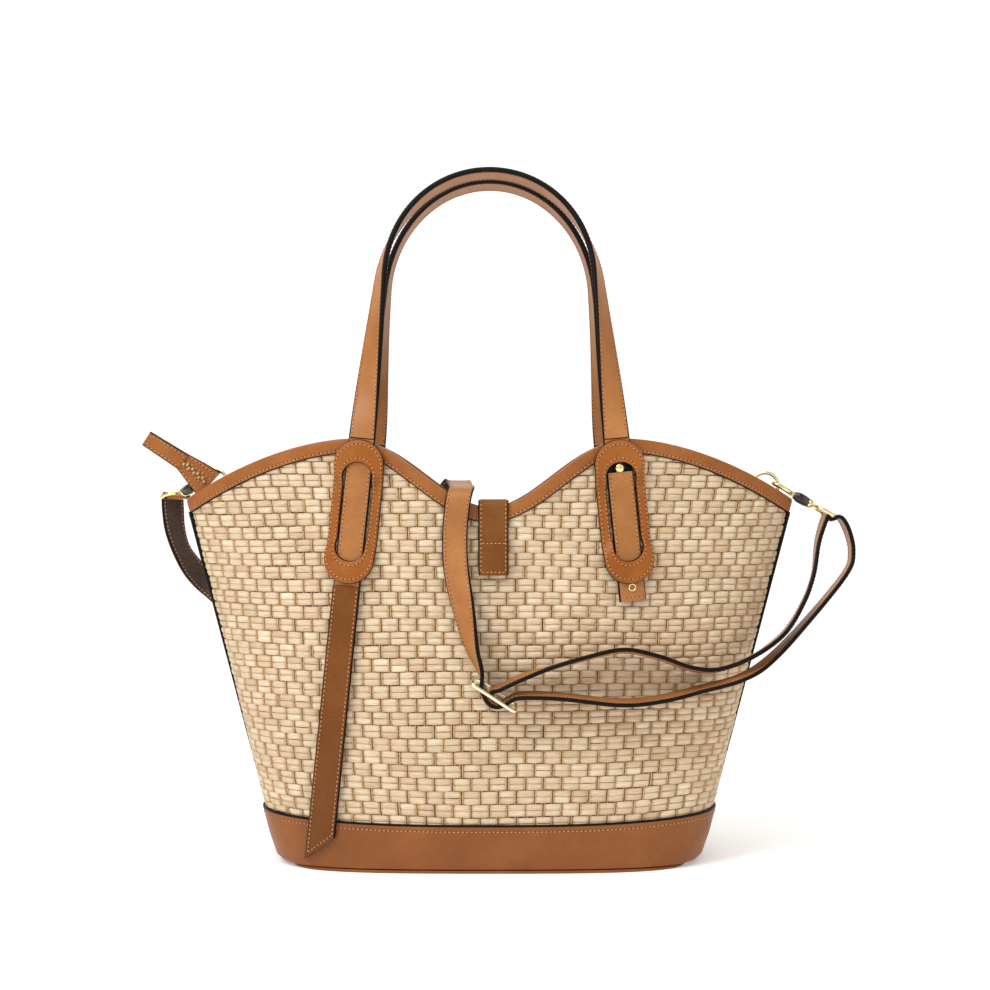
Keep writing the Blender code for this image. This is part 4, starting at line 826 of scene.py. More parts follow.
def make_binding(side, word):
    """Narrow leather folded over the rim, stitched near its lower edge."""
    s = np.linspace(-0.018, 1.018, 191)
    inside = np.clip(s, SEAM_S, 1 - SEAM_S)
    top = rim(inside)
    run = run_at(top)
    slope = np.interp(inside, RIM_S, np.gradient(RIM_Z, RIM_S)) / run
    steep = np.hypot(1.0, slope)
    fold = face = GAP + BINDING
    back = -(BINDING_BACK + BINDING)
    lip = 0.35 * MM
    section = [(face - 1.0 * MM, BINDING_DROP), (face - lip, BINDING_DROP), (face, BINDING_DROP - 0.7 * MM),
               (face + 0.10 * MM, 3.0 * MM),
               (face, 0.6 * MM), (face - 0.5 * MM, -fold + 0.35 * MM), (face - 1.6 * MM, -fold),
               ((face + back) / 2, -fold), (back + 1.6 * MM, -fold), (back + 0.5 * MM, -fold + 0.35 * MM),
               (back, 0.6 * MM), (back, BINDING_DROP), (back + BINDING, BINDING_DROP),
               (back + BINDING, -GAP), (GAP, -GAP), (GAP, BINDING_DROP)]
    pucker = 0.10 * MM * np.sin(2 * math.pi * s * run / STITCH_PITCH / 2.0)

    def point(height, drop):
        """Points that far out of the straw and that far down from its edge, square to the rim."""
        along = np.clip(s + drop * slope / steep / run, SEAM_S, 1 - SEAM_S)
        return wall(along, top - drop / steep, height)

    loops = np.stack([point(height + (pucker if height > GAP else 0.0), drop)
                      for height, drop in section], axis=1)
    paints = [1, 1] + [0] * 8 + [0, 1, 0, 0, 0, 1]
    binding = loft("binding_leather_" + word, loops, [LEATHER, EDGE], paints, cap_paint=0)
    seam = point(face + 0.12 * MM, BINDING_DROP - SEAM_INSET)[5:-5]
    foot = point(0.0, BINDING_DROP - SEAM_INSET)[5:-5]
    thread = stitches("binding_stitches_" + word, [(seam, seam - foot)])
    to_side(side, binding, thread)
    attach(binding, "bag", "tan_leather", "rim_binding_" + word)
    attach(thread, "bag", "tan_leather")


def make_sole():
    """Leather bottom, about level with the outside of the band."""
    sole = base_plate("sole_leather", 0.0, SOLE, GAP + BAND, 0.6 * MM, BAND_LEATHER)
    attach(sole, "bag", "tan_leather", "base_sole")


def make_welts():
    """Painted piping in each side seam."""
    for side, word in ENDS:
        low, high = BAND_HEIGHT + BAND_RISE + GAP, RIM_Z[0] - BINDING_DROP + 0.8 * MM
        z = np.linspace(low, high, 40)
        points = np.stack([side * (half_width(z) + 0.4 * MM), np.zeros_like(z), z], axis=-1)
        obj = strap("piping_" + word, points, [Y_WAY] * len(z), 3.0 * MM, 3.6 * MM, [EDGE] * 3,
                    columns=1, radius=1.1 * MM)
        attach(obj, "bag", "black_edge", "side_welt_" + word)


# ---- plates, strap ends, studs --------------------------------------------------------------------
STRAP_HEIGHT = 2 * GAP + BINDING
PLATE_END_HEIGHT = STRAP_HEIGHT + STRAP_THICKNESS + GAP
PLATE_FACE = PLATE_END_HEIGHT + PLATE_THICKNESS
SLOT_RADIUS = STRAP_WIDTH / 2 + SLOT_CLEARANCE
SLOT_TOP = (PLATE_LENGTH - SLOT_LENGTH) / 2
STUD_CUT = 6.6 * MM           # the studded strap ends stop this far below the top of the slot


def plate_height(down):
    """Height of a plate's back off the straw: it climbs over the strap at both ends of its slot."""
    from_end = np.minimum(down, PLATE_LENGTH - down)
    step = smooth((from_end - SLOT_TOP - SLOT_RADIUS + 4.0 * MM) / (8.5 * MM))
    return lerp(PLATE_END_HEIGHT, PLATE_SIDE_HEIGHT, step)


def oblong(radius, first, last):
    """Stations round an oblong: (out, down) and the same number for every size."""
    arc, straight = 20, 22
    upper, lower = first + radius, last - radius
    turn = np.linspace(0, math.pi, arc, endpoint=False)
    fall = np.linspace(upper, lower, straight, endpoint=False)
    out = np.concatenate([radius * np.cos(turn), np.full(straight, -radius), -radius * np.cos(turn),
                          np.full(straight, radius)])
    down = np.concatenate([upper - radius * np.sin(turn), fall, lower + radius * np.sin(turn),
                           fall[::-1] + (fall[1] - fall[0])])
    return out, down


def make_plate(place, side, face):
    """Slotted leather plate, sewn round its edge and round its slot, edges painted black."""
    brim = PLATE_WIDTH / 2 - SLOT_RADIUS

    def around(share):
        """Stations on the plate at a share of the way from its slot to its edge."""
        reach = SLOT_TOP * (1 - share)
        return oblong(SLOT_RADIUS + brim * share, reach, PLATE_LENGTH - reach)

    profile = [(1.0, 0.0), (1.0, 0.35), (0.97, 0.80), (0.90, 1.0), (0.80, 1.03), (0.5, 1.0), (0.20, 1.03),
               (0.10, 1.0), (0.03, 0.80), (0.0, 0.35), (0.0, 0.0)]
    low = plate_height(around(0.5)[1])
    loops = np.stack([tag(side, *around(share), low + height * PLATE_THICKNESS, face)
                      for share, height in profile], axis=1)
    paints = [1, 1, 0, 0, 0, 0, 0, 0, 1, 1, 2]
    plate = loft("plate_leather_" + place, loops, [PLATE_LEATHER, EDGE, FLESH], paints, ring=True)
    rows = []
    for share in (0.80, 0.20):
        top = tag(side, *around(share), low + 1.04 * PLATE_THICKNESS, face)
        outward = top - tag(side, *around(share), low, face)
        rows.append((np.vstack([top, top[:1]]), np.vstack([outward, outward[:1]])))
    thread = stitches("plate_stitches_" + place, rows)
    attach(plate, "bag", "tan_leather", "handle_plate_" + place)
    attach(thread, "bag", "tan_leather")


def laid_strap(name, side, face, first, last, width, low, thickness, slant=0.0, materials=None, steps=48):
    """Strap that lies on the wall along a plate's middle line, with rounded painted edges."""
    section, paints = bevelled_section(width, thickness, EDGE_ROUND, 4)
    section = np.array(section)
    loops = []
    for t in np.linspace(0, 1, steps + 1):
        down = lerp(first, last - slant, t) + slant * smooth((t - 0.7) / 0.3) * (0.5 + section[:, 0] / width)
        lift = low + thickness / 2 + section[:, 1]
        loops.append(tag(side, section[:, 0], down, lift, face))
    return loft(name, loops, materials or [STRAP_LEATHER, EDGE, FLESH], paints)


def laid_stitches(name, side, face, first, last, width, height, slant=0.0, cross=()):
    """Stitch rows down both edges of a laid strap, and across it at the given places."""
    runs = []
    down = np.linspace(first, last, 60)
    edge = width / 2 - SEAM_INSET
    for out in (-edge, edge):
        runs.append((np.full(60, out), down - slant * (0.5 - out / width) * (down - first) / (last - first)))
    for place in cross:
        outs = np.linspace(-edge, edge, 12)
        runs.append((outs, np.full(12, place) - slant * (0.5 - outs / width)))
    return stitches(name, [(tag(side, *run, height, face), out_of(side, *run, height, face)) for run in runs])


def out_of(side, out, down, height, face):
    """Directions out of the wall at places on a plate."""
    return tag(side, out, down, height + MM, face) - tag(side, out, down, height, face)


def make_strap_end(place, side, face, last, studded):
    """The strap in a plate's slot; with a stud, its top is cut back and a black strip fills the slot round
    the stud as painted shade.
    """
    top = STRAP_HEIGHT + STRAP_THICKNESS
    first = -0.55 * MM
    if studded:
        root = laid_strap("strap_root_leather_" + place, side, face, first, SLOT_TOP + 0.4 * MM, STRAP_WIDTH,
                          STRAP_HEIGHT, STRAP_THICKNESS, steps=14)
        # black strip under the open top of the slot: painted shade round the stud
        under = laid_strap("slot_shade_strip_" + place, side, face, SLOT_TOP + 0.5 * MM, SLOT_TOP + STUD_CUT,
                           STRAP_WIDTH, STRAP_HEIGHT, 1.0 * MM, materials=[EDGE, EDGE, EDGE], steps=10)
        attach(root, "bag", "tan_leather")
        attach(under, "bag", "black_edge")
        first = SLOT_TOP + STUD_CUT + 0.1 * MM
    body = laid_strap("strap_end_leather_" + place, side, face, first, last, STRAP_WIDTH, STRAP_HEIGHT,
                      STRAP_THICKNESS)
    attach(body, "bag", "tan_leather", "handle_strap_end_" + place)
    top += THREAD_LIFT
    shown = (max(first, SLOT_TOP) + 1.0 * MM, PLATE_LENGTH - SLOT_TOP - 1.0 * MM)
    thread = laid_stitches("strap_end_stitches_" + place, side, face, shown[0], shown[1], STRAP_WIDTH, top)
    attach(thread, "bag", "tan_leather")
    if studded:
        outs = np.linspace(-(STRAP_WIDTH / 2 - SEAM_INSET), STRAP_WIDTH / 2 - SEAM_INSET, 10)
        downs = np.full(10, last - 2.6 * MM)
        seam = [(tag(side, outs, downs, top, face), out_of(side, outs, downs, top, face))]
        attach(stitches("strap_tip_stitches_" + place, seam), "bag", "tan_leather")


def set_down(obj, start, axis, material):
    """Moves a fitting made upright at the origin to its place and its axis."""
    turn = Z_WAY.rotation_difference(Vector(axis).normalized()).to_matrix().to_4x4()
    obj.data.transform(Matrix.Translation(start) @ turn)
    obj.data.materials.append(material)
    return obj


def turned(name, profile, start, axis, material):
    """A turned fitting: a circle is drawn, then extruded and scaled along the profile."""
    bpy.ops.object.select_all(action="DESELECT")
    along, radius = profile[0]
    bpy.ops.mesh.primitive_circle_add(vertices=32, radius=radius, fill_type="NGON", location=(0, 0, along))
    obj = bpy.context.object
    obj.name = name
    bpy.ops.object.mode_set(mode="EDIT")
    bpy.ops.mesh.select_all(action="SELECT")
    for (a, r), (b, s) in zip(profile, profile[1:]):
        bpy.ops.mesh.extrude_region_move(TRANSFORM_OT_translate={"value": (0, 0, b - a)})
        bpy.ops.transform.resize(value=(s / r, s / r, 1), center_override=(0, 0, b))
    bpy.ops.mesh.select_all(action="SELECT")
    bpy.ops.mesh.normals_make_consistent(inside=False)
    bpy.ops.object.mode_set(mode="OBJECT")
    bpy.ops.object.transform_apply(location=True, rotation=True, scale=True)
    bpy.ops.object.shade_smooth_by_angle(angle=math.radians(40))
    return set_down(obj, start, axis, material)


def ring_piece(name, centre, axis, radius, wire_radius, material):
    """A round ring lying across its axis."""
    bpy.ops.object.select_all(action="DESELECT")
    bpy.ops.mesh.primitive_torus_add(major_radius=radius, minor_radius=wire_radius, major_segments=32,
                                     minor_segments=16)
    obj = bpy.context.object
    obj.name = name
    bpy.ops.object.shade_smooth()
    return set_down(obj, centre, axis, material)


def make_stud(place, side, face):
    """Domed rivet at the top of a slot, and the eyelet that peeps out under the plate."""
    radius = 3.2 * MM
    down = SLOT_TOP + radius + 0.5 * MM
    low = STRAP_HEIGHT + 1.0 * MM
    base = Vector(tag(side, 0.0, down, low, face))
    tip = Vector(tag(side, 0.0, down, low + 3 * MM, face))
    profile = [(0.0, 0.80), (1.0, 0.82), (1.06, 1.0), (1.16, 1.04), (1.26, 1.0), (1.46, 0.93), (1.64, 0.80),
               (1.79, 0.62), (1.90, 0.40), (1.96, 0.16)]
    stud = turned("dome_stud_" + place, [(a * radius * 0.62, r * radius) for a, r in profile], base,
                  tip - base, GOLD)
    attach(stud, "bag", "pale_gold", "stud_" + place)
    top = STRAP_HEIGHT + STRAP_THICKNESS + GAP
    middle = Vector(tag(side, 0.0, PLATE_LENGTH + 2.4 * MM, top + 0.4 * MM, face))
    foot, over = (Vector(tag(side, 0.0, PLATE_LENGTH, height, face)) for height in (top, top + 2 * MM))
    eyelet = ring_piece("eyelet_ring_" + place, middle, over - foot, 2.3 * MM, 0.55 * MM, GOLD)
    attach(eyelet, "bag", "pale_gold", "eyelet_" + place)


def make_tags():
    """The four plates with the straps in their slots; the front left strap runs on into the long tail."""
    for face, row in SIDES:
        for side, word in ENDS:
            place = row + "_" + word
            tail = face == FRONT and side == -1
            make_plate(place, side, face)
            last = PLATE_LENGTH + (1.3 * MM if tail else STRAP_END_LENGTH)
            make_strap_end(place, side, face, last, not tail)
            if not tail:
                make_stud(place, side, face)


def make_tail():
    """Long strap end that hangs from the front left plate, cut on a slant."""
    low = 2 * GAP + GAP + BAND
    first, last = PLATE_LENGTH + 1.6 * MM, PLATE_LENGTH + TAIL_LENGTH
    tail = laid_strap("strap_tail_leather", -1, FRONT, first, last, TAIL_WIDTH, low, TAIL_THICKNESS,
                      TAIL_SLANT, [SHADED_TAIL_LEATHER, EDGE, FLESH], steps=90)
    bend = [Vector(tag(-1, 0.0, first + reach, low, FRONT)) for reach in (1.0 * MM, 14.0 * MM)]
    top = low + TAIL_THICKNESS + THREAD_LIFT
    thread = laid_stitches("strap_tail_stitches", -1, FRONT, first + 2 * MM, last - 3.0 * MM, TAIL_WIDTH, top,
                           slant=TAIL_SLANT, cross=(last - 3.4 * MM,))
    for obj in (tail, thread):
        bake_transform(obj)
    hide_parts("strap_tail")


# ---- handles --------------------------------------------------------------------------------------
def handle_route(haste, tilt):
    """Middle line of a handle and its way across: the right half is drawn, leant inwards and mirrored.

    The strap turns edge-on from its feet to its crown; more haste makes most of the turn come lower down.
    """
    hinge = tag(1, 0.0, -0.5 * MM, PLATE_FACE)
    foot = tag(1, 0.0, -0.9 * MM, STRAP_HEIGHT + STRAP_THICKNESS / 2)
    spring = hinge[2] + HANDLE_HEIGHT - ARCH_RISE
    line = foot[0] - LEG_SLOPE * (spring - foot[2])
    span = math.sqrt(line ** 2 - (LEG_SLOPE * ARCH_RISE) ** 2)
    start = math.atan(LEG_SLOPE * ARCH_RISE / span)
    turn = np.linspace(start, math.pi / 2, 60)
    crown = np.stack([span * np.cos(turn), spring + ARCH_RISE * np.sin(turn)], axis=-1)
    leg = np.stack([np.linspace(foot[0], crown[0, 0], 30, endpoint=False),
                    np.linspace(foot[2], crown[0, 1], 30, endpoint=False)], axis=-1)
    half = resample(np.hstack([np.vstack([leg, crown]), np.zeros((90, 1))]), 3.0 * MM)[:, :2]
    run = np.concatenate([[0], np.cumsum(np.linalg.norm(np.diff(half, axis=0), axis=1))])
    ahead = np.gradient(half, axis=0)
    ahead /= np.linalg.norm(ahead, axis=1)[:, None]
    ahead[-1] = (-1.0, 0.0)
    turn = math.pi / 2 * (1 - (1 - run / run[-1]) ** haste)
    front = Vector((0, -math.cos(tilt), math.sin(tilt)))
    y = foot[1] + (half[:, 1] - foot[2]) * math.tan(HANDLE_LEAN)
    points, across = [], []
    for side, order in ((1, range(len(half))), (-1, range(len(half) - 2, -1, -1))):
        for k in order:
            points.append((side * half[k, 0], y[k], half[k, 1]))
            inward = Vector((-side * ahead[k, 1], 0.0, -ahead[k, 0]))
            across.append(tuple(inward * math.cos(turn[k]) + front * math.sin(turn[k])))
    return np.array(points), np.array(across)


def strap_rows(points, across, width, height, trim):
    """Places and directions of the stitch rows along a strap's grain side or back."""
    points, _, side, up = strap_frames(points, across)
    stop = len(points) - trim
    rows = []
    for sign in (-1, 1):
        for face in (1, -1):
            place = points + side * (sign * (width / 2 - SEAM_INSET)) + up * (face * height)
            rows.append((place[trim:stop], (up * face)[trim:stop]))
    return rows


def make_handles():
    """Both handles, sewn along their edges on both faces; the rear crown turns edge-on earlier."""
    for face, word in SIDES:
        points, across = handle_route(2.0 if face == FRONT else 4.0, face * CROWN_TILT)
        name = word + "_handle"
        body = strap("handle_leather_" + word, points, across, STRAP_WIDTH, HANDLE_THICKNESS,
                     [STRAP_LEATHER, EDGE, STRAP_LEATHER], radius=1.2 * MM)
        thread = stitches("handle_stitches_" + word,
                          strap_rows(points, across, STRAP_WIDTH, HANDLE_THICKNESS / 2 + THREAD_LIFT, trim=1))
        to_side(face, body, thread)
        attach(body, name, "tan_leather", name)
        attach(thread, name, "tan_leather")


# ---- closing tab ----------------------------------------------------------------------------------
def make_tab():
    """Strap over the mouth: from its patch at the rear, over both rims, down to the magnet in front."""
    edges = np.array([TAB_X - TAB_WIDTH / 2, TAB_X + TAB_WIDTH / 2])
    level = float(np.max(rim_height(edges))) + TAB_SLACK + TAB_THICKNESS / 2
    stand = float(wall_depth(TAB_X, DIP_HEIGHT)) + GAP + BINDING + TAB_SLACK + TAB_THICKNESS / 2
    turn = np.linspace(0, math.pi / 2, 7)
    corner = np.stack([-stand + TAB_BEND * (1 - np.sin(turn)), level - TAB_BEND * (1 - np.cos(turn))],
                      axis=-1)
    low = DIP_HEIGHT - TAB_DROP
    belly = float(half_depth(low) - half_depth(DIP_HEIGHT))
    across_mouth = np.stack([np.linspace(stand, -stand + TAB_BEND * 2, 24), np.full(24, level)], axis=-1)
    across_mouth[:, 1] -= 1.0 * MM * np.cos(across_mouth[:, 0] / stand * math.pi / 2) ** 2
    fall = np.array([(-stand - belly * 0.6, lerp(level, low, 0.55)), (-stand - belly, low)])
    route = np.vstack([across_mouth, corner, fall])
    path = smooth_path(np.hstack([np.full((len(route), 1), TAB_X), route]), 3)
    path = resample(path, 2.2 * MM)
    across = [X_WAY] * len(path)
    tip = np.linspace(0, 1, len(path))
    taper = 1 - 0.05 * smooth((tip - 0.985) / 0.015)
    body = strap("closing_tab_leather", path, across, TAB_WIDTH, TAB_THICKNESS, [FLESH, EDGE, SHADED_TAIL_LEATHER],
                 taper=taper)
    attach(body, "closure_tab", "tan_leather", "closure_tab")
    points, _, side, up = strap_frames(path, across)
    face = -np.sign(up[-1, 1])
    edge, height = TAB_WIDTH / 2 - SEAM_INSET, TAB_THICKNESS / 2 + THREAD_LIFT
    rows = []
    for sign in (-1, 1):
        place = points + side * (sign * edge) + up * face * height
        rows.append((place[1:-1], (up * face)[1:-1]))
    outs = np.linspace(-edge, edge, 8)
    for row in (len(points) - 2, len(points) - 11):
        seam = points[row] + side[row] * outs[:, None] + up[row] * face * height
        rows.append((seam, np.tile(up[row] * face, (8, 1))))
    attach(stitches("closing_tab_stitches", rows), "closure_tab", "tan_leather")
    make_tab_patch(level)


def make_tab_patch(level):
    """Sewn end of the tab's strap on the rear panel, below the crossing's level."""
    top = level - TAB_THICKNESS / 2 - 2 * GAP
    z = np.linspace(DIP_HEIGHT - TAB_PATCH_DROP, top, 18)
    stand = 2 * GAP + BINDING + TAB_THICKNESS / 2
    points = lay(TAB_X, z, stand) * np.array([1, -1, 1])
    points[:, 0] = TAB_X
    across = [X_WAY] * len(points)
    body = strap("tab_patch_leather", points, across, TAB_WIDTH, TAB_THICKNESS, [FLESH, EDGE, SHADED_TAIL_LEATHER])
    attach(body, "bag", "tan_leather", "closure_tab_patch")
    edge, height = TAB_WIDTH / 2 - SEAM_INSET, TAB_THICKNESS / 2 + THREAD_LIFT
    box = [(-edge, 1), (edge, 1), (edge, 14), (-edge, 14), (-edge, 1)]
    corners = np.array([points[k] + np.array([out, height, 0]) for out, k in box])
    attach(stitches("tab_patch_stitches", [(corners, np.tile([0, 1, 0], (5, 1)))]), "bag", "tan_leather")


# ---- rings, hooks and shoulder strap --------------------------------------------------------------
class Hook:
    """Place and direction of one swivel hook, from the ring that it holds to the strap."""

    def __init__(self, word, side, ring_rise, lean):
        self.word = word
        x = side * (CORNER_WIDTH / 2 - RING_INSET)
        self.ring_centre = Vector((x, 0.0, float(rim_height(x)) + ring_rise))
        self.axis = Vector((side * lean[0], lean[1], lean[2])).normalized()
        flat = Vector((self.axis.y, -self.axis.x, 0.0)).normalized()
        self.flat = flat if flat.y > 0 else -flat
        self.grip = self.ring_centre + Vector((side * RING_RADIUS, 0.0, 0.0))

    def at(self, along, across=0.0):
        """Point along the hook's axis, and across it in the hook's plane."""
        return self.grip + self.axis * along + self.flat * across

    def round_bar(self, turn, reach):
        """Point round the eye's strap bar."""
        centre = self.at(EYE_FAR)
        side = self.flat.cross(self.axis).normalized()
        return centre + (self.axis * math.cos(turn) + side * math.sin(turn)) * reach


LEFT_HOOK = Hook("left", -1, 1.5 * MM, (0.58, 0.76, -0.25))
RIGHT_HOOK = Hook("right", 1, -1.0 * MM, (0.87, 0.02, -0.49))


def wire(name, points, radii, material, closed=False):
    """Round cast wire along a path, its thickness given at each point, with domed ends."""
    sides = 16
    points = np.asarray([tuple(p) for p in points])
    radii = np.broadcast_to(np.asarray(radii, float), (len(points),)).copy()
    if closed:
        ahead = np.roll(points, -1, axis=0) - np.roll(points, 1, axis=0)
    else:
        ahead = np.gradient(points, axis=0)
    ahead /= np.linalg.norm(ahead, axis=1)[:, None]
    normal = np.linalg.svd(points - points.mean(axis=0))[2][-1]
    side = np.cross(ahead, normal)
    side /= np.linalg.norm(side, axis=1)[:, None]
    up = np.cross(side, ahead)
    if not closed:
        radii[0] *= 0.72
        radii[-1] *= 0.72
    turn = np.linspace(0, 2 * math.pi, sides, endpoint=False)
    loops = points[:, None] + radii[:, None, None] * (side[:, None] * np.cos(turn)[None, :, None]
                                                      + up[:, None] * np.sin(turn)[None, :, None])
    return loft(name, loops, [material], [0] * sides, ring=closed, cap_paint=0)


def make_ring(hook):
    """D-ring: an arch of wire closed by a straight bar, which the leather loop holds."""
    drop = RING_RADIUS * 0.62
    start = -math.asin(drop / RING_RADIUS)
    turn = np.linspace(start, math.pi - start, 60)
    centre = hook.ring_centre
    arc = [centre + Vector((RING_RADIUS * math.cos(t), 0, RING_RADIUS * math.sin(t))) for t in turn]
    half = math.sqrt(RING_RADIUS ** 2 - drop ** 2)
    bar = [centre + Vector((lerp(-half, half, t), 0, -drop)) for t in np.linspace(0.1, 0.9, 9)]
    ring = wire("ring_wire_" + hook.word, arc + bar, RING_WIRE, GOLD, closed=True)
    attach(ring, "d_ring_" + hook.word, "pale_gold", "d_ring_" + hook.word)
    make_chape(hook, centre.z - drop, 1.2 * half)


def make_chape(hook, bar, width):
    """Leather loop round the ring's bar, its ends sewn down into the corner."""
    clear, outer = RING_WIRE + GAP, RING_WIRE + GAP + 0.9 * MM
    turn = np.linspace(0, math.pi, 14)
    outside = [(outer * math.cos(t), bar + outer * math.sin(t)) for t in turn]
    low, foot, pinch = bar - 8 * MM, bar - 20 * MM, bar - 5 * MM
    outside = [(outer, foot), (outer, low)] + outside + [(-outer, low), (-outer, foot)]
    inside = [(clear * math.cos(t), bar + clear * math.sin(t)) for t in turn[::-1]]
    inside = ([(-0.15 * MM, foot), (-0.2 * MM, pinch)] + inside
              + [(0.2 * MM, pinch), (0.15 * MM, foot)])
    outline = outside + inside
    x = hook.ring_centre.x
    loops = [[(x + e * width / 2, y, z) for y, z in outline] for e in (-1, -0.96, 0.96, 1)]
    obj = loft("ring_loop_" + hook.word, loops, [LEATHER, EDGE], [0] * len(outline), cap_paint=1)
    attach(obj, "bag", "tan_leather", "ring_chape_" + hook.word)


def make_hook(hook):
    """Cast swivel hook: tapering curl, spring gate, turned barrel, gold collar and strap eye."""
    half = 5.0 * MM
    curl = [(BARREL_START - 0.8 * MM, 0.0), (9.8 * MM, -1.2 * MM), (6.6 * MM, -4.0 * MM), (2.0 * MM, -half),
            (-2.2 * MM, -4.2 * MM), (-4.1 * MM, -1.4 * MM), (-3.9 * MM, 1.6 * MM), (-2.0 * MM, 4.0 * MM),
            (0.4 * MM, 4.7 * MM)]
    points = [hook.at(*p) for p in smooth_path(curl, 8)]
    share = np.linspace(0, 1, len(points))
    radii = HOOK_WIRE * np.interp(share, [0, 0.12, 0.5, 0.9, 1], [1.35, 1.45, 1.1, 0.85, 0.7])
    claw = wire("hook_curl_" + hook.word, points, radii, GOLD)
    attach(claw, "hook_claw_" + hook.word, "pale_gold", "hook_claw_" + hook.word)
    bar = smooth_path([(10.0 * MM, 1.8 * MM), (6.6 * MM, 3.6 * MM), (2.6 * MM, 4.6 * MM)], 6)
    gate = wire("hook_gate_bar_" + hook.word, [hook.at(*p) for p in bar], 0.8 * MM, GOLD)
    attach(gate, "hook_gate_" + hook.word, "pale_gold", "hook_gate_" + hook.word)
    profile = [(0.0, 2.3), (0.5, 2.7), (1.6, 2.9), (3.0, 3.6), (3.8, 3.8), (8.0, 3.75), (10.5, 3.5),
               (11.6, 3.1), (12.0, 3.3), (12.6, 3.5), (13.4, 3.5), (14.0, 3.2), (14.6, 2.7), (15.0, 2.3)]
    # the barrel's dark grey is a painted reflection on its plating; only its collar is gold
    barrel = turned("hook_barrel_turned_" + hook.word, [(a * MM, r * MM) for a, r in profile],
                    hook.at(BARREL_START), hook.axis, DARK_METAL_AND_REFLECTION)
    barrel.data.materials.append(GOLD)
    collar = 11.8 * MM
    for face in barrel.data.polygons:
        along = (Vector(face.center) - hook.at(BARREL_START)).dot(hook.axis)
        if along > collar:
            face.material_index = 1
    attach(barrel, "bag", "dark_steel", "hook_barrel_" + hook.word)
    near, far, wide = EYE_NEAR, EYE_FAR, EYE_WIDTH / 2
    outline = [(near, 0.0), (near + 0.2 * MM, 4.0 * MM), (near + 1.4 * MM, 7.4 * MM),
               (near + 4.0 * MM, 9.9 * MM), (near + 8.0 * MM, wide), (far - 1.2 * MM, wide),
               (far, wide - 1.2 * MM), (far, wide / 2)]
    outline += [(a, -b) for a, b in outline[::-1]]
    path = smooth_path(outline, 5)[:-1]
    eye = wire("hook_eye_wire_" + hook.word, [hook.at(*p) for p in path], EYE_CAST, GOLD, closed=True)
    attach(eye, "bag", "pale_gold", "hook_eye_" + hook.word)


def buckle_frame():
    """The buckle's middle, its long way and the way of its bars."""
    z = CORNER_HEIGHT * 0.486
    middle = Vector((3.5 * MM, -float(wall_depth(3.5 * MM, z)) - BUCKLE_STAND, z))
    long_way = Vector((math.cos(BUCKLE_TURN), 0.0, -math.sin(BUCKLE_TURN)))
    cross_way = Vector((0.10, 1.0, 0.09)).normalized()
    cross_way = (cross_way - long_way * cross_way.dot(long_way)).normalized()
    return middle, long_way, cross_way


def on_front(x_share, z_share, stand):
    """Point off the front panel, by shares of the corner's x and height."""
    x, z = x_share * CORNER_WIDTH / 2, z_share * CORNER_HEIGHT
    return Vector((x, -float(wall_depth(x, z)) - stand, z))


def on_rear(x_share, z_share, stand):
    """The same point off the rear panel."""
    point = on_front(x_share, z_share, stand)
    return Vector((point.x, -point.y, point.z))


def beside(x_share, z_share, clear):
    """Middle of a strap that stands on its edge, clear of the front panel."""
    return on_front(x_share, z_share, BELT_WIDTH / 2 + clear)


def twist(turn):
    """Way across a strap that turns from flat on the panel to edge-on."""
    return Vector((math.cos(turn), -math.sin(turn), 0.0))


def high_rim(x):
    """Top of the binding at one x, as a plain number."""
    return float(rim_height(x))


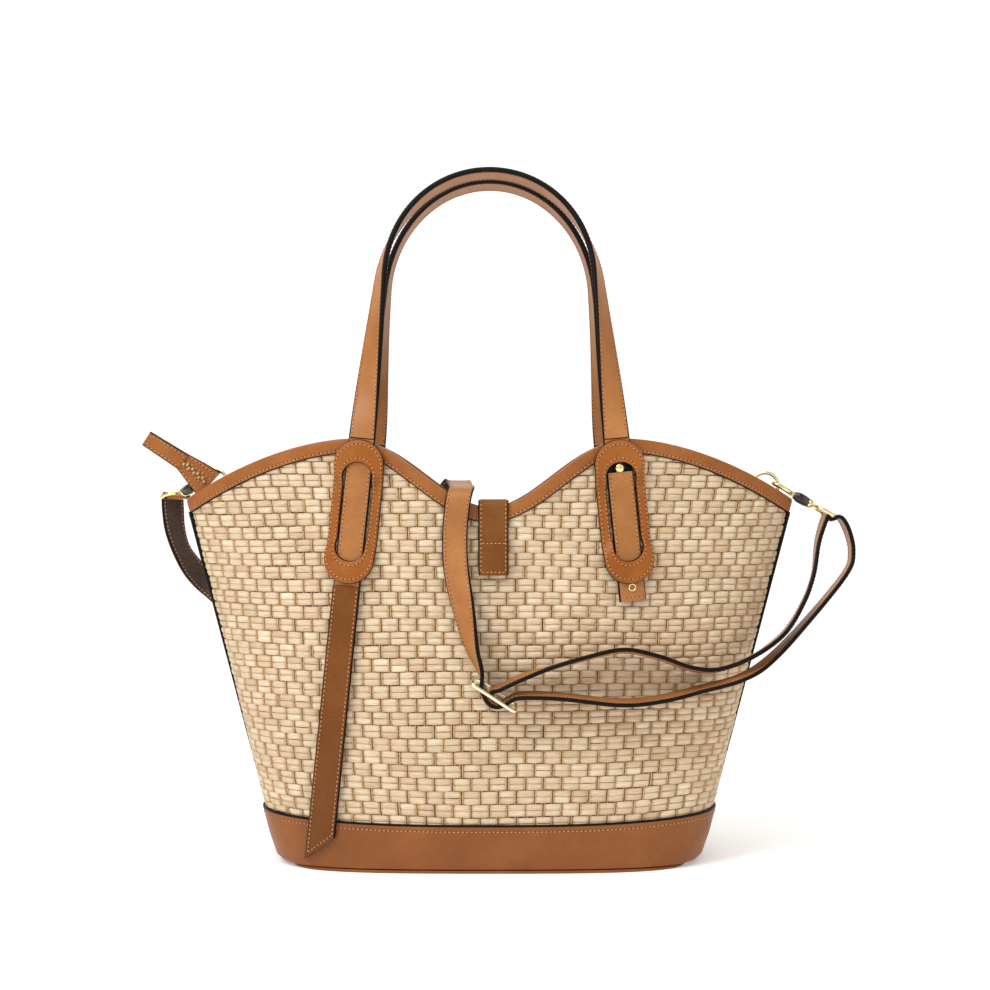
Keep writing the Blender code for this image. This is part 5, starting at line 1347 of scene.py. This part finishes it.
def long_route():
    """From the left hook, down behind the bag, over both rims and down the front to the buckle."""
    hook = LEFT_HOOK
    wrap = EYE_WIRE + GAP + BELT_THICKNESS / 2
    ring = [hook.round_bar(math.radians(a), wrap) for a in (215, 180, 145, 110, 75, 40, 5, -15)]
    lead = Vector((-0.45, -0.80, -0.25))
    flat = -hook.flat
    rest = 2 * GAP + BINDING + BELT_THICKNESS / 2
    middle, _, cross = buckle_frame()
    bar = ring[-1]
    route = [(p, flat) for p in ring]
    route += [
        (bar + Vector((0.0002, 0.0010, -0.0080)), flat),
        (bar + Vector((0.0015, 0.0020, -0.0220)), flat.lerp(lead, 0.4)),
        (bar + Vector((0.0060, 0.0050, -0.0380)), flat.lerp(lead, 0.8)),
        (bar + Vector((0.0140, 0.0100, -0.0520)), Vector((-0.50, -0.45, -0.65))),
        (bar + Vector((0.0250, 0.0160, -0.0640)), Vector((-0.50, -0.15, -0.80))),
        (on_rear(-0.88, 0.705, 0.030), Vector((-0.30, 0.0, -0.95))),
        (on_rear(-0.72, 0.690, 0.022), Vector((0.05, 0.0, -1.0))),
        (on_rear(-0.55, 0.720, 0.017), Vector((0.35, 0.0, -0.94))),
        (on_rear(-0.40, 0.800, 0.016), Vector((0.62, 0.0, -0.78))),
        (on_rear(-0.25, 0.870, 0.014), Vector((0.78, 0.0, -0.62))),
    ]
    low_rim = high_rim(0.165 * CORNER_WIDTH / 2) + 0.0080
    rear_x, front_x = -0.105 * CORNER_WIDTH / 2, -0.087 * CORNER_WIDTH / 2
    crest = high_rim(abs(rear_x) + BELT_WIDTH / 2) + rest
    near = high_rim(abs(front_x) + BELT_WIDTH / 2) + rest
    depth = float(half_depth(DIP_HEIGHT))
    route += [
        (Vector((rear_x - 0.008, depth + 0.0100, lerp(low_rim, crest, 0.2) - 0.010)),
         Vector((0.90, 0.0, -0.42))),
        (Vector((rear_x - 0.002, depth + 0.0030, crest + 0.0010)), Vector((0.97, 0.1, -0.15))),
        (Vector((rear_x, depth - 0.012, crest + 0.0030)), X_WAY),
        (Vector((lerp(rear_x, front_x, 0.5), 0.0, lerp(crest, near, 0.5) + 0.0010)), X_WAY),
        (Vector((front_x, -depth + 0.012, near + 0.0010)), X_WAY),
        (Vector((front_x - 0.001, -depth - 0.0030, near - 0.0022)), X_WAY),
        (Vector((front_x - 0.003, -depth - 0.0070, near - 0.0120)), X_WAY),
        (on_front(-0.108, 0.905, rest + 0.0012), twist(0.03)),
        (on_front(-0.104, 0.815, rest + 0.0016), twist(0.12)),
        (on_front(-0.082, 0.718, rest + 0.0040), twist(0.55)),
        (on_front(-0.054, 0.612, rest + 0.0090), twist(1.05)),
        (middle + Vector((-0.0092, 0.0, 0.0160)), twist(1.42)),
        (middle + Vector((-0.0082, 0.0, 0.0060)), -cross),
    ]
    return route


def loop_route():
    """From the buckle to the right hook, round its eye, and back to the buckle's middle bar."""
    hook = RIGHT_HOOK
    middle, _, cross = buckle_frame()
    near_edge = -cross
    low_face, high_face = Vector((0.0, -1.0, -0.10)), Vector((0.0, -1.0, 0.16))
    wrap = EYE_WIRE + GAP + BELT_THICKNESS / 2
    corner, top, depth = CORNER_WIDTH / 2, CORNER_HEIGHT, float(half_depth(CORNER_HEIGHT / 2))
    back = -hook.flat
    bar = hook.at(EYE_FAR)
    route = [
        (middle + Vector((-0.0079, 0.0, 0.0050)), near_edge),
        (middle + Vector((-0.0048, 0.0, -0.0028)), near_edge),
        (middle + Vector((0.0004, 0.0, -0.0068)), near_edge),
        (middle + Vector((0.0066, 0.0, -0.0060)), near_edge),
        (middle + Vector((0.0112, 0.0, -0.0030)), near_edge),
        (middle + Vector((0.0185, 0.0, -0.0008)), near_edge),
        (beside(0.22, 0.480, 0.006), low_face),
        (beside(0.41, 0.461, 0.004), low_face),
        (beside(0.54, 0.468, 0.003), low_face),
        (beside(0.67, 0.490, 0.003), low_face),
        (Vector((0.80 * corner, -0.86 * depth, 0.520 * top)), low_face),
        (Vector((0.90 * corner, -0.66 * depth, 0.565 * top)), low_face),
        (Vector((1.03 * corner, -0.36 * depth, 0.660 * top)), Vector((0.0, -1.0, 0.0))),
        (bar + Vector((0.0090, -0.0080, -0.0420)), Vector((-0.06, -1.0, 0.0))),
        (bar + Vector((0.0150, -0.0030, -0.0260)), Vector((-0.04, -1.0, 0.0))),
        (bar + Vector((0.0120, 0.0, -0.0100)), back),
        (bar + Vector((0.0062, 0.0, -0.0010)), back),
    ]
    route += [(hook.round_bar(math.radians(a), wrap), back) for a in (60, 95, 130, 165, 200)]
    route += [
        (bar + Vector((-0.0052, 0.0, -0.0060)), back),
        (bar + Vector((-0.0095, -0.0030, -0.0200)), Vector((-0.06, -1.0, 0.0))),
        (bar + Vector((-0.0140, -0.0110, -0.0420)), Vector((-0.16, -1.0, 0.0))),
        (bar + Vector((-0.0235, -0.0220, -0.0620)), Vector((-0.16, -1.0, 0.0))),
        (bar + Vector((-0.0390, -0.0350, -0.0820)), Vector((-0.10, -1.0, 0.05))),
        (Vector((0.845 * corner, -0.80 * depth, 0.578 * top)), high_face),
        (beside(0.735, 0.541, 0.004), high_face),
        (beside(0.640, 0.547, 0.004), high_face),
        (beside(0.530, 0.580, 0.004), high_face),
        (beside(0.420, 0.599, 0.004), high_face),
        (beside(0.300, 0.580, 0.005), high_face),
        (beside(0.190, 0.555, 0.006), high_face.lerp(near_edge, 0.3)),
        (middle + Vector((0.0200, 0.0, 0.0118)), near_edge),
        (middle + Vector((0.0100, 0.0, 0.0072)), near_edge),
        (middle + Vector((0.0035, 0.0, 0.0042)), near_edge),
        (middle + Vector((-0.0014, 0.0, 0.0030)), near_edge),
        (middle + Vector((-0.0031, 0.0, -0.0004)), near_edge),
    ]
    return route


def make_shoulder_strap():
    """The strap's long run and the run that loops round the right hook's eye."""
    for name, node, route, back in (("shoulder_strap", "shoulder_strap", long_route(), FLESH),
                                    ("loop_strap", "strap_loop", loop_route(), STRAP_LEATHER)):
        rows = smooth_path([(*point, *across) for point, across in route], 8)
        rows = resample(rows, 2.0 * MM)
        points, across = rows[:, :3], rows[:, 3:]
        body = strap(name + "_leather", points, across, BELT_WIDTH, BELT_THICKNESS,
                     [back, EDGE, STRAP_LEATHER])
        attach(body, "bag", "tan_leather", node)
        thread = stitches(name + "_stitches",
                          strap_rows(points, across, BELT_WIDTH, BELT_THICKNESS / 2 + THREAD_LIFT, trim=4))
        attach(thread, "bag", "tan_leather")


def make_buckle():
    """Polished slide buckle, an oblong of wire with rounded corners, and its middle bar."""
    middle, long_way, cross = buckle_frame()
    half, wide, corner = 17.25 * MM, 11.4 * MM, 3.2 * MM
    outline = []
    for sx, sy in ((1, 1), (-1, 1), (-1, -1), (1, -1)):
        bend = [(half - corner, wide), (half - corner * 0.55, wide - corner * 0.09),
                (half - corner * 0.29, wide - corner * 0.29), (half - corner * 0.09, wide - corner * 0.55),
                (half, wide - corner)]
        if sx * sy > 0:
            bend.reverse()
        outline += [(sx * a, sy * b) for a, b in bend]
    path = []
    for (a, b), (c, d) in zip(outline, outline[1:] + outline[:1]):
        steps = max(int(math.hypot(c - a, d - b) / (1.2 * MM)), 1)
        for k in range(steps):
            path.append((lerp(a, c, k / steps), lerp(b, d, k / steps)))
    body = wire("slide_buckle_wire", [middle + long_way * a + cross * b for a, b in path], 1.3 * MM,
                BUCKLE_GOLD, closed=True)
    attach(body, "bag", "pale_gold", "slide_buckle")
    reach = 10.9 * MM
    ends = [middle + cross * lerp(-reach, reach, t) for t in np.linspace(0, 1, 9)]
    bar = wire("slide_buckle_bar", ends, 1.1 * MM, BUCKLE_GOLD)
    attach(bar, "bag", "pale_gold", "buckle_bar")


# ---- zip ------------------------------------------------------------------------------------------
GUSSET_BOTTOM, GUSSET_HEIGHT = 216 * MM, 18 * MM
CHAIN_WIDTH, CHAIN_THICKNESS = 5.0 * MM, 1.6 * MM
TOOTH_PITCH = 2.4 * MM
STUB_X = -0.43 * CORNER_WIDTH
STUB_LENGTH = 36 * MM
STUB_HEIGHT = GUSSET_BOTTOM + GUSSET_HEIGHT / 2 + 2 * MM


def gusset_route(side):
    """Middle line of one gusset: along the lining, then in to where the two meet."""
    z = GUSSET_BOTTOM + GUSSET_HEIGHT / 2
    inside = 5.2 * MM + GAP + CHAIN_THICKNESS / 2 + 2.6 * MM
    shares = (0.70, 0.50, 0.30, 0.10, -0.10, -0.30, -0.50, -0.60)
    points = [tuple(lay(share * CORNER_WIDTH / 2, z, -inside)) for share in shares]
    meet = STUB_X + STUB_LENGTH
    points += [(meet + 10 * MM, -10 * MM, z), (meet + 2 * MM, -4 * MM, z)]
    return smooth_path([(x, side * y, z) for x, y, z in points], 8)


def teeth(name, node, path, outward, width, double=False):
    """Zip teeth: one cast tooth copied along the tape's edge, or by turns along both edges."""
    cell = np.array([(a, b, c) for a in (-0.30, 0.30) for b in (-0.5, 0.5) for c in (-0.5, 0.5)])
    quads = [(0, 1, 3, 2), (4, 6, 7, 5), (0, 4, 5, 1), (2, 3, 7, 6), (0, 2, 6, 4), (1, 5, 7, 3)]
    rows = resample(np.hstack([path, outward]), TOOTH_PITCH)
    ahead = np.gradient(rows[:, :3], axis=0)
    ahead /= np.linalg.norm(ahead, axis=1)[:, None]
    out = rows[:, 3:6]
    side = np.cross(ahead, out)
    side /= np.linalg.norm(side, axis=1)[:, None]
    places, faces = [], []
    for k in range(len(rows)):
        shift = (0.22 if k % 2 else -0.22) * width if double else 0.0
        start = len(places) * 8
        centre = rows[k, :3] + side[k] * shift
        places.append(centre + cell[:, :1] * ahead[k] * TOOTH_PITCH * 1.1
                      + cell[:, 1:2] * side[k] * width * 0.62 + cell[:, 2:3] * out[k] * CHAIN_THICKNESS)
        faces += [tuple(i + start for i in f) for f in quads]
    obj = make_object(name, np.concatenate(places), faces, [TOOTH], crease=30)
    attach(face_out(obj), "bag", "pale_gold", node)


def make_zip():
    """Two tapes with their teeth, the short row where they are joined, and the zip's outer end."""
    for side, word in SIDES:
        path = gusset_route(side)
        tape = strap("zip_tape_" + word, path, [Z_WAY] * len(path), GUSSET_HEIGHT, 1.2 * MM, [ZIP_TAPE] * 3,
                     radius=0.5 * MM)
        attach(tape, "bag", "zip_tape", "zip_gusset_" + word)
        low = path - np.array([0, 0, GUSSET_HEIGHT / 2 + GAP + CHAIN_WIDTH / 4])
        outward = np.tile([0.0, side, 0.0], (len(path), 1))
        teeth("zip_row_" + word, "zip_teeth_" + word, low, outward, CHAIN_WIDTH / 2)
    stub = np.stack([np.linspace(STUB_X, STUB_X + STUB_LENGTH, 12), np.zeros(12), np.full(12, STUB_HEIGHT)],
                    axis=-1)
    teeth("zip_closed_row", "zip_stub", stub, np.tile([0.0, 1.0, 0.0], (12, 1)), CHAIN_WIDTH * 0.7,
          double=True)
    make_tongue()


def make_tongue():
    """Zip end that stands out of the left corner: leather-faced tongue, its teeth, and a folded tab."""
    corner = Vector((-CORNER_WIDTH / 2, 0.0, CORNER_HEIGHT))
    low = [(6.0, 4.6, -7.5), (-0.7, 13.5, -7.8), (-7.0, 22.2, -8.2)]
    high = [(27.0, 16.0, -7.5), (15.0, 24.0, -7.8), (2.0, 32.0, -8.2)]
    low = smooth_path([(x * MM, y * MM, z * MM) for x, z, y in low], 6) + np.array(corner)
    high = smooth_path([(x * MM, y * MM, z * MM) for x, z, y in high], 6) + np.array(corner)
    middle, wide = (low + high) / 2, high - low
    widths = np.linalg.norm(wide, axis=1)
    body = strap("zip_tongue_leather", middle, wide, widths[0], 2.6 * MM, [LEATHER, EDGE, FLESH],
                 taper=widths / widths[0])
    attach(body, "bag", "tan_leather", "zip_tongue")
    outward = np.tile([0.0, -1.0, 0.0], (len(middle), 1))
    front = middle + np.array([0.0, -1.3 * MM - GAP - CHAIN_THICKNESS / 2, 0.0])
    teeth("zip_tail_row", "zip_tail_teeth", front[2:-1], outward[2:-1], CHAIN_WIDTH * 0.7, double=True)
    rows = []
    for share in (0.10, 0.34, 0.66, 0.90):
        line = low + wide * share + np.array([0.0, -1.32 * MM, 0.0])
        rows.append((line[1:-1], outward[1:-1]))
    attach(stitches("zip_tongue_stitches", rows), "bag", "tan_leather")
    start = corner + Vector((-1.7 * MM, -8.2 * MM, 26.5 * MM))
    stop = corner + Vector((-28.0 * MM, -10.0 * MM, 43.5 * MM))
    across = Vector((0.62, -0.06, 0.78))
    line = np.array([tuple(start.lerp(stop, t)) for t in np.linspace(0, 1, 16)])
    tab = strap("zip_end_tab_leather", line, [across] * 16, 12.5 * MM, 4.0 * MM, [LEATHER, EDGE, LEATHER],
                taper=np.linspace(1.06, 0.92, 16))
    attach(tab, "bag", "tan_leather", "zip_end_tab")
    _, ahead, side, up = strap_frames(line, [across] * 16)
    face = -np.sign(up[0, 1])
    lift = up[0] * face * 2.02 * MM
    reach, length = 4.4 * MM, np.linalg.norm(line[-1] - line[0])
    box = [(2 * MM, -reach), (length - 2 * MM, -reach * 0.9), (length - 2 * MM, reach * 0.9), (2 * MM, reach),
           (2 * MM, -reach)]
    seam = np.array([line[0] + ahead[0] * a + side[0] * b + lift for a, b in box])
    attach(stitches("zip_end_tab_stitches", [(seam, np.tile(up[0] * face, (5, 1)))]), "bag", "tan_leather")


# ---- what the frame's own solids keep -------------------------------------------------------------
KEPT = {"base_board": BACKING, "panel_magnet": DARK_METAL_AND_REFLECTION, "zip_slider": GOLD, "zip_puller": GOLD}


def dress_kept_nodes():
    """Gives the frame's solids that stay their materials."""
    for node, material in KEPT.items():
        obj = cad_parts[node]
        obj.data.materials.clear()
        obj.data.materials.append(material)


# ---- stage ----------------------------------------------------------------------------------------
def make_stage():
    """Pale floor that rises into a backdrop, four soft lamps and the camera."""
    m, shader = new_material("matt_white_paper", 0.85, Emission_Color=(1, 1, 1, 1), Emission_Strength=0.25)
    noise = add(m, "ShaderNodeTexNoise", {"Scale": 3.0}, Vector=place_of(m))
    paint(m, shader, ramp(m, noise.outputs["Fac"], [(0.0, "#FAF9F7"), (1.0, "#FDFCFB")]))
    profile = [(-2.5, 0.0)] + [(1.6 + 0.9 * math.sin(t), 0.9 - 0.9 * math.cos(t))
                               for t in np.linspace(0, math.pi / 2, 12)] + [(2.5, 4.0)]
    loops = [[(x, y, z) for y, z in profile] for x in (-4.0, 4.0)]
    points = np.array(loops).reshape(-1, 3)
    floor = make_object("paper_floor", points, grid_faces(2, len(profile)), [m], crease=0)
    lamps = (("key", (-1.1, -1.1, 1.4), 0.8, 19.0), ("fill", (1.9, -1.4, 1.1), 1.8, 6.0),
             ("top", (-0.1, -0.5, 1.5), 1.2, 11.0), ("front", (0.2, -2.6, 0.9), 1.6, 5.0))
    for name, place, size, power in lamps:
        light = bpy.data.lights.new(name, "AREA")
        light.size = size
        light.energy = power
        obj = bpy.data.objects.new(name, light)
        obj.location = place
        obj.rotation_euler = (Vector((0, 0, 0.2)) - Vector(place)).to_track_quat("-Z", "Y").to_euler()
        bpy.context.scene.collection.objects.link(obj)
    world = bpy.data.worlds.new("studio")
    world.use_nodes = True
    world.node_tree.nodes["Background"].inputs["Color"].default_value = (1.0, 0.99, 0.97, 1.0)
    world.node_tree.nodes["Background"].inputs["Strength"].default_value = 0.5
    bpy.context.scene.world = world
    bpy.context.scene.view_settings.view_transform = "Standard"
    camera = bpy.data.cameras.new("camera")
    camera.lens = 63.1
    camera.sensor_width = 36.0
    obj = bpy.data.objects.new("camera", camera)
    obj.location = (0.004, -1.25, 0.259)
    obj.rotation_euler = (math.pi / 2, 0.0, 0.0)
    bpy.context.scene.collection.objects.link(obj)
    bpy.context.scene.camera = obj


make_stage()
for face_side, face_word in SIDES:
    make_weave(face_side, face_word)
    make_band(face_side, face_word)
    make_binding(face_side, face_word)
make_linings()
make_sole()
make_welts()
make_tags()
make_tail()
make_handles()
make_tab()
for swivel in (LEFT_HOOK, RIGHT_HOOK):
    make_ring(swivel)
    make_hook(swivel)
make_shoulder_strap()
make_buckle()
make_zip()
dress_kept_nodes()
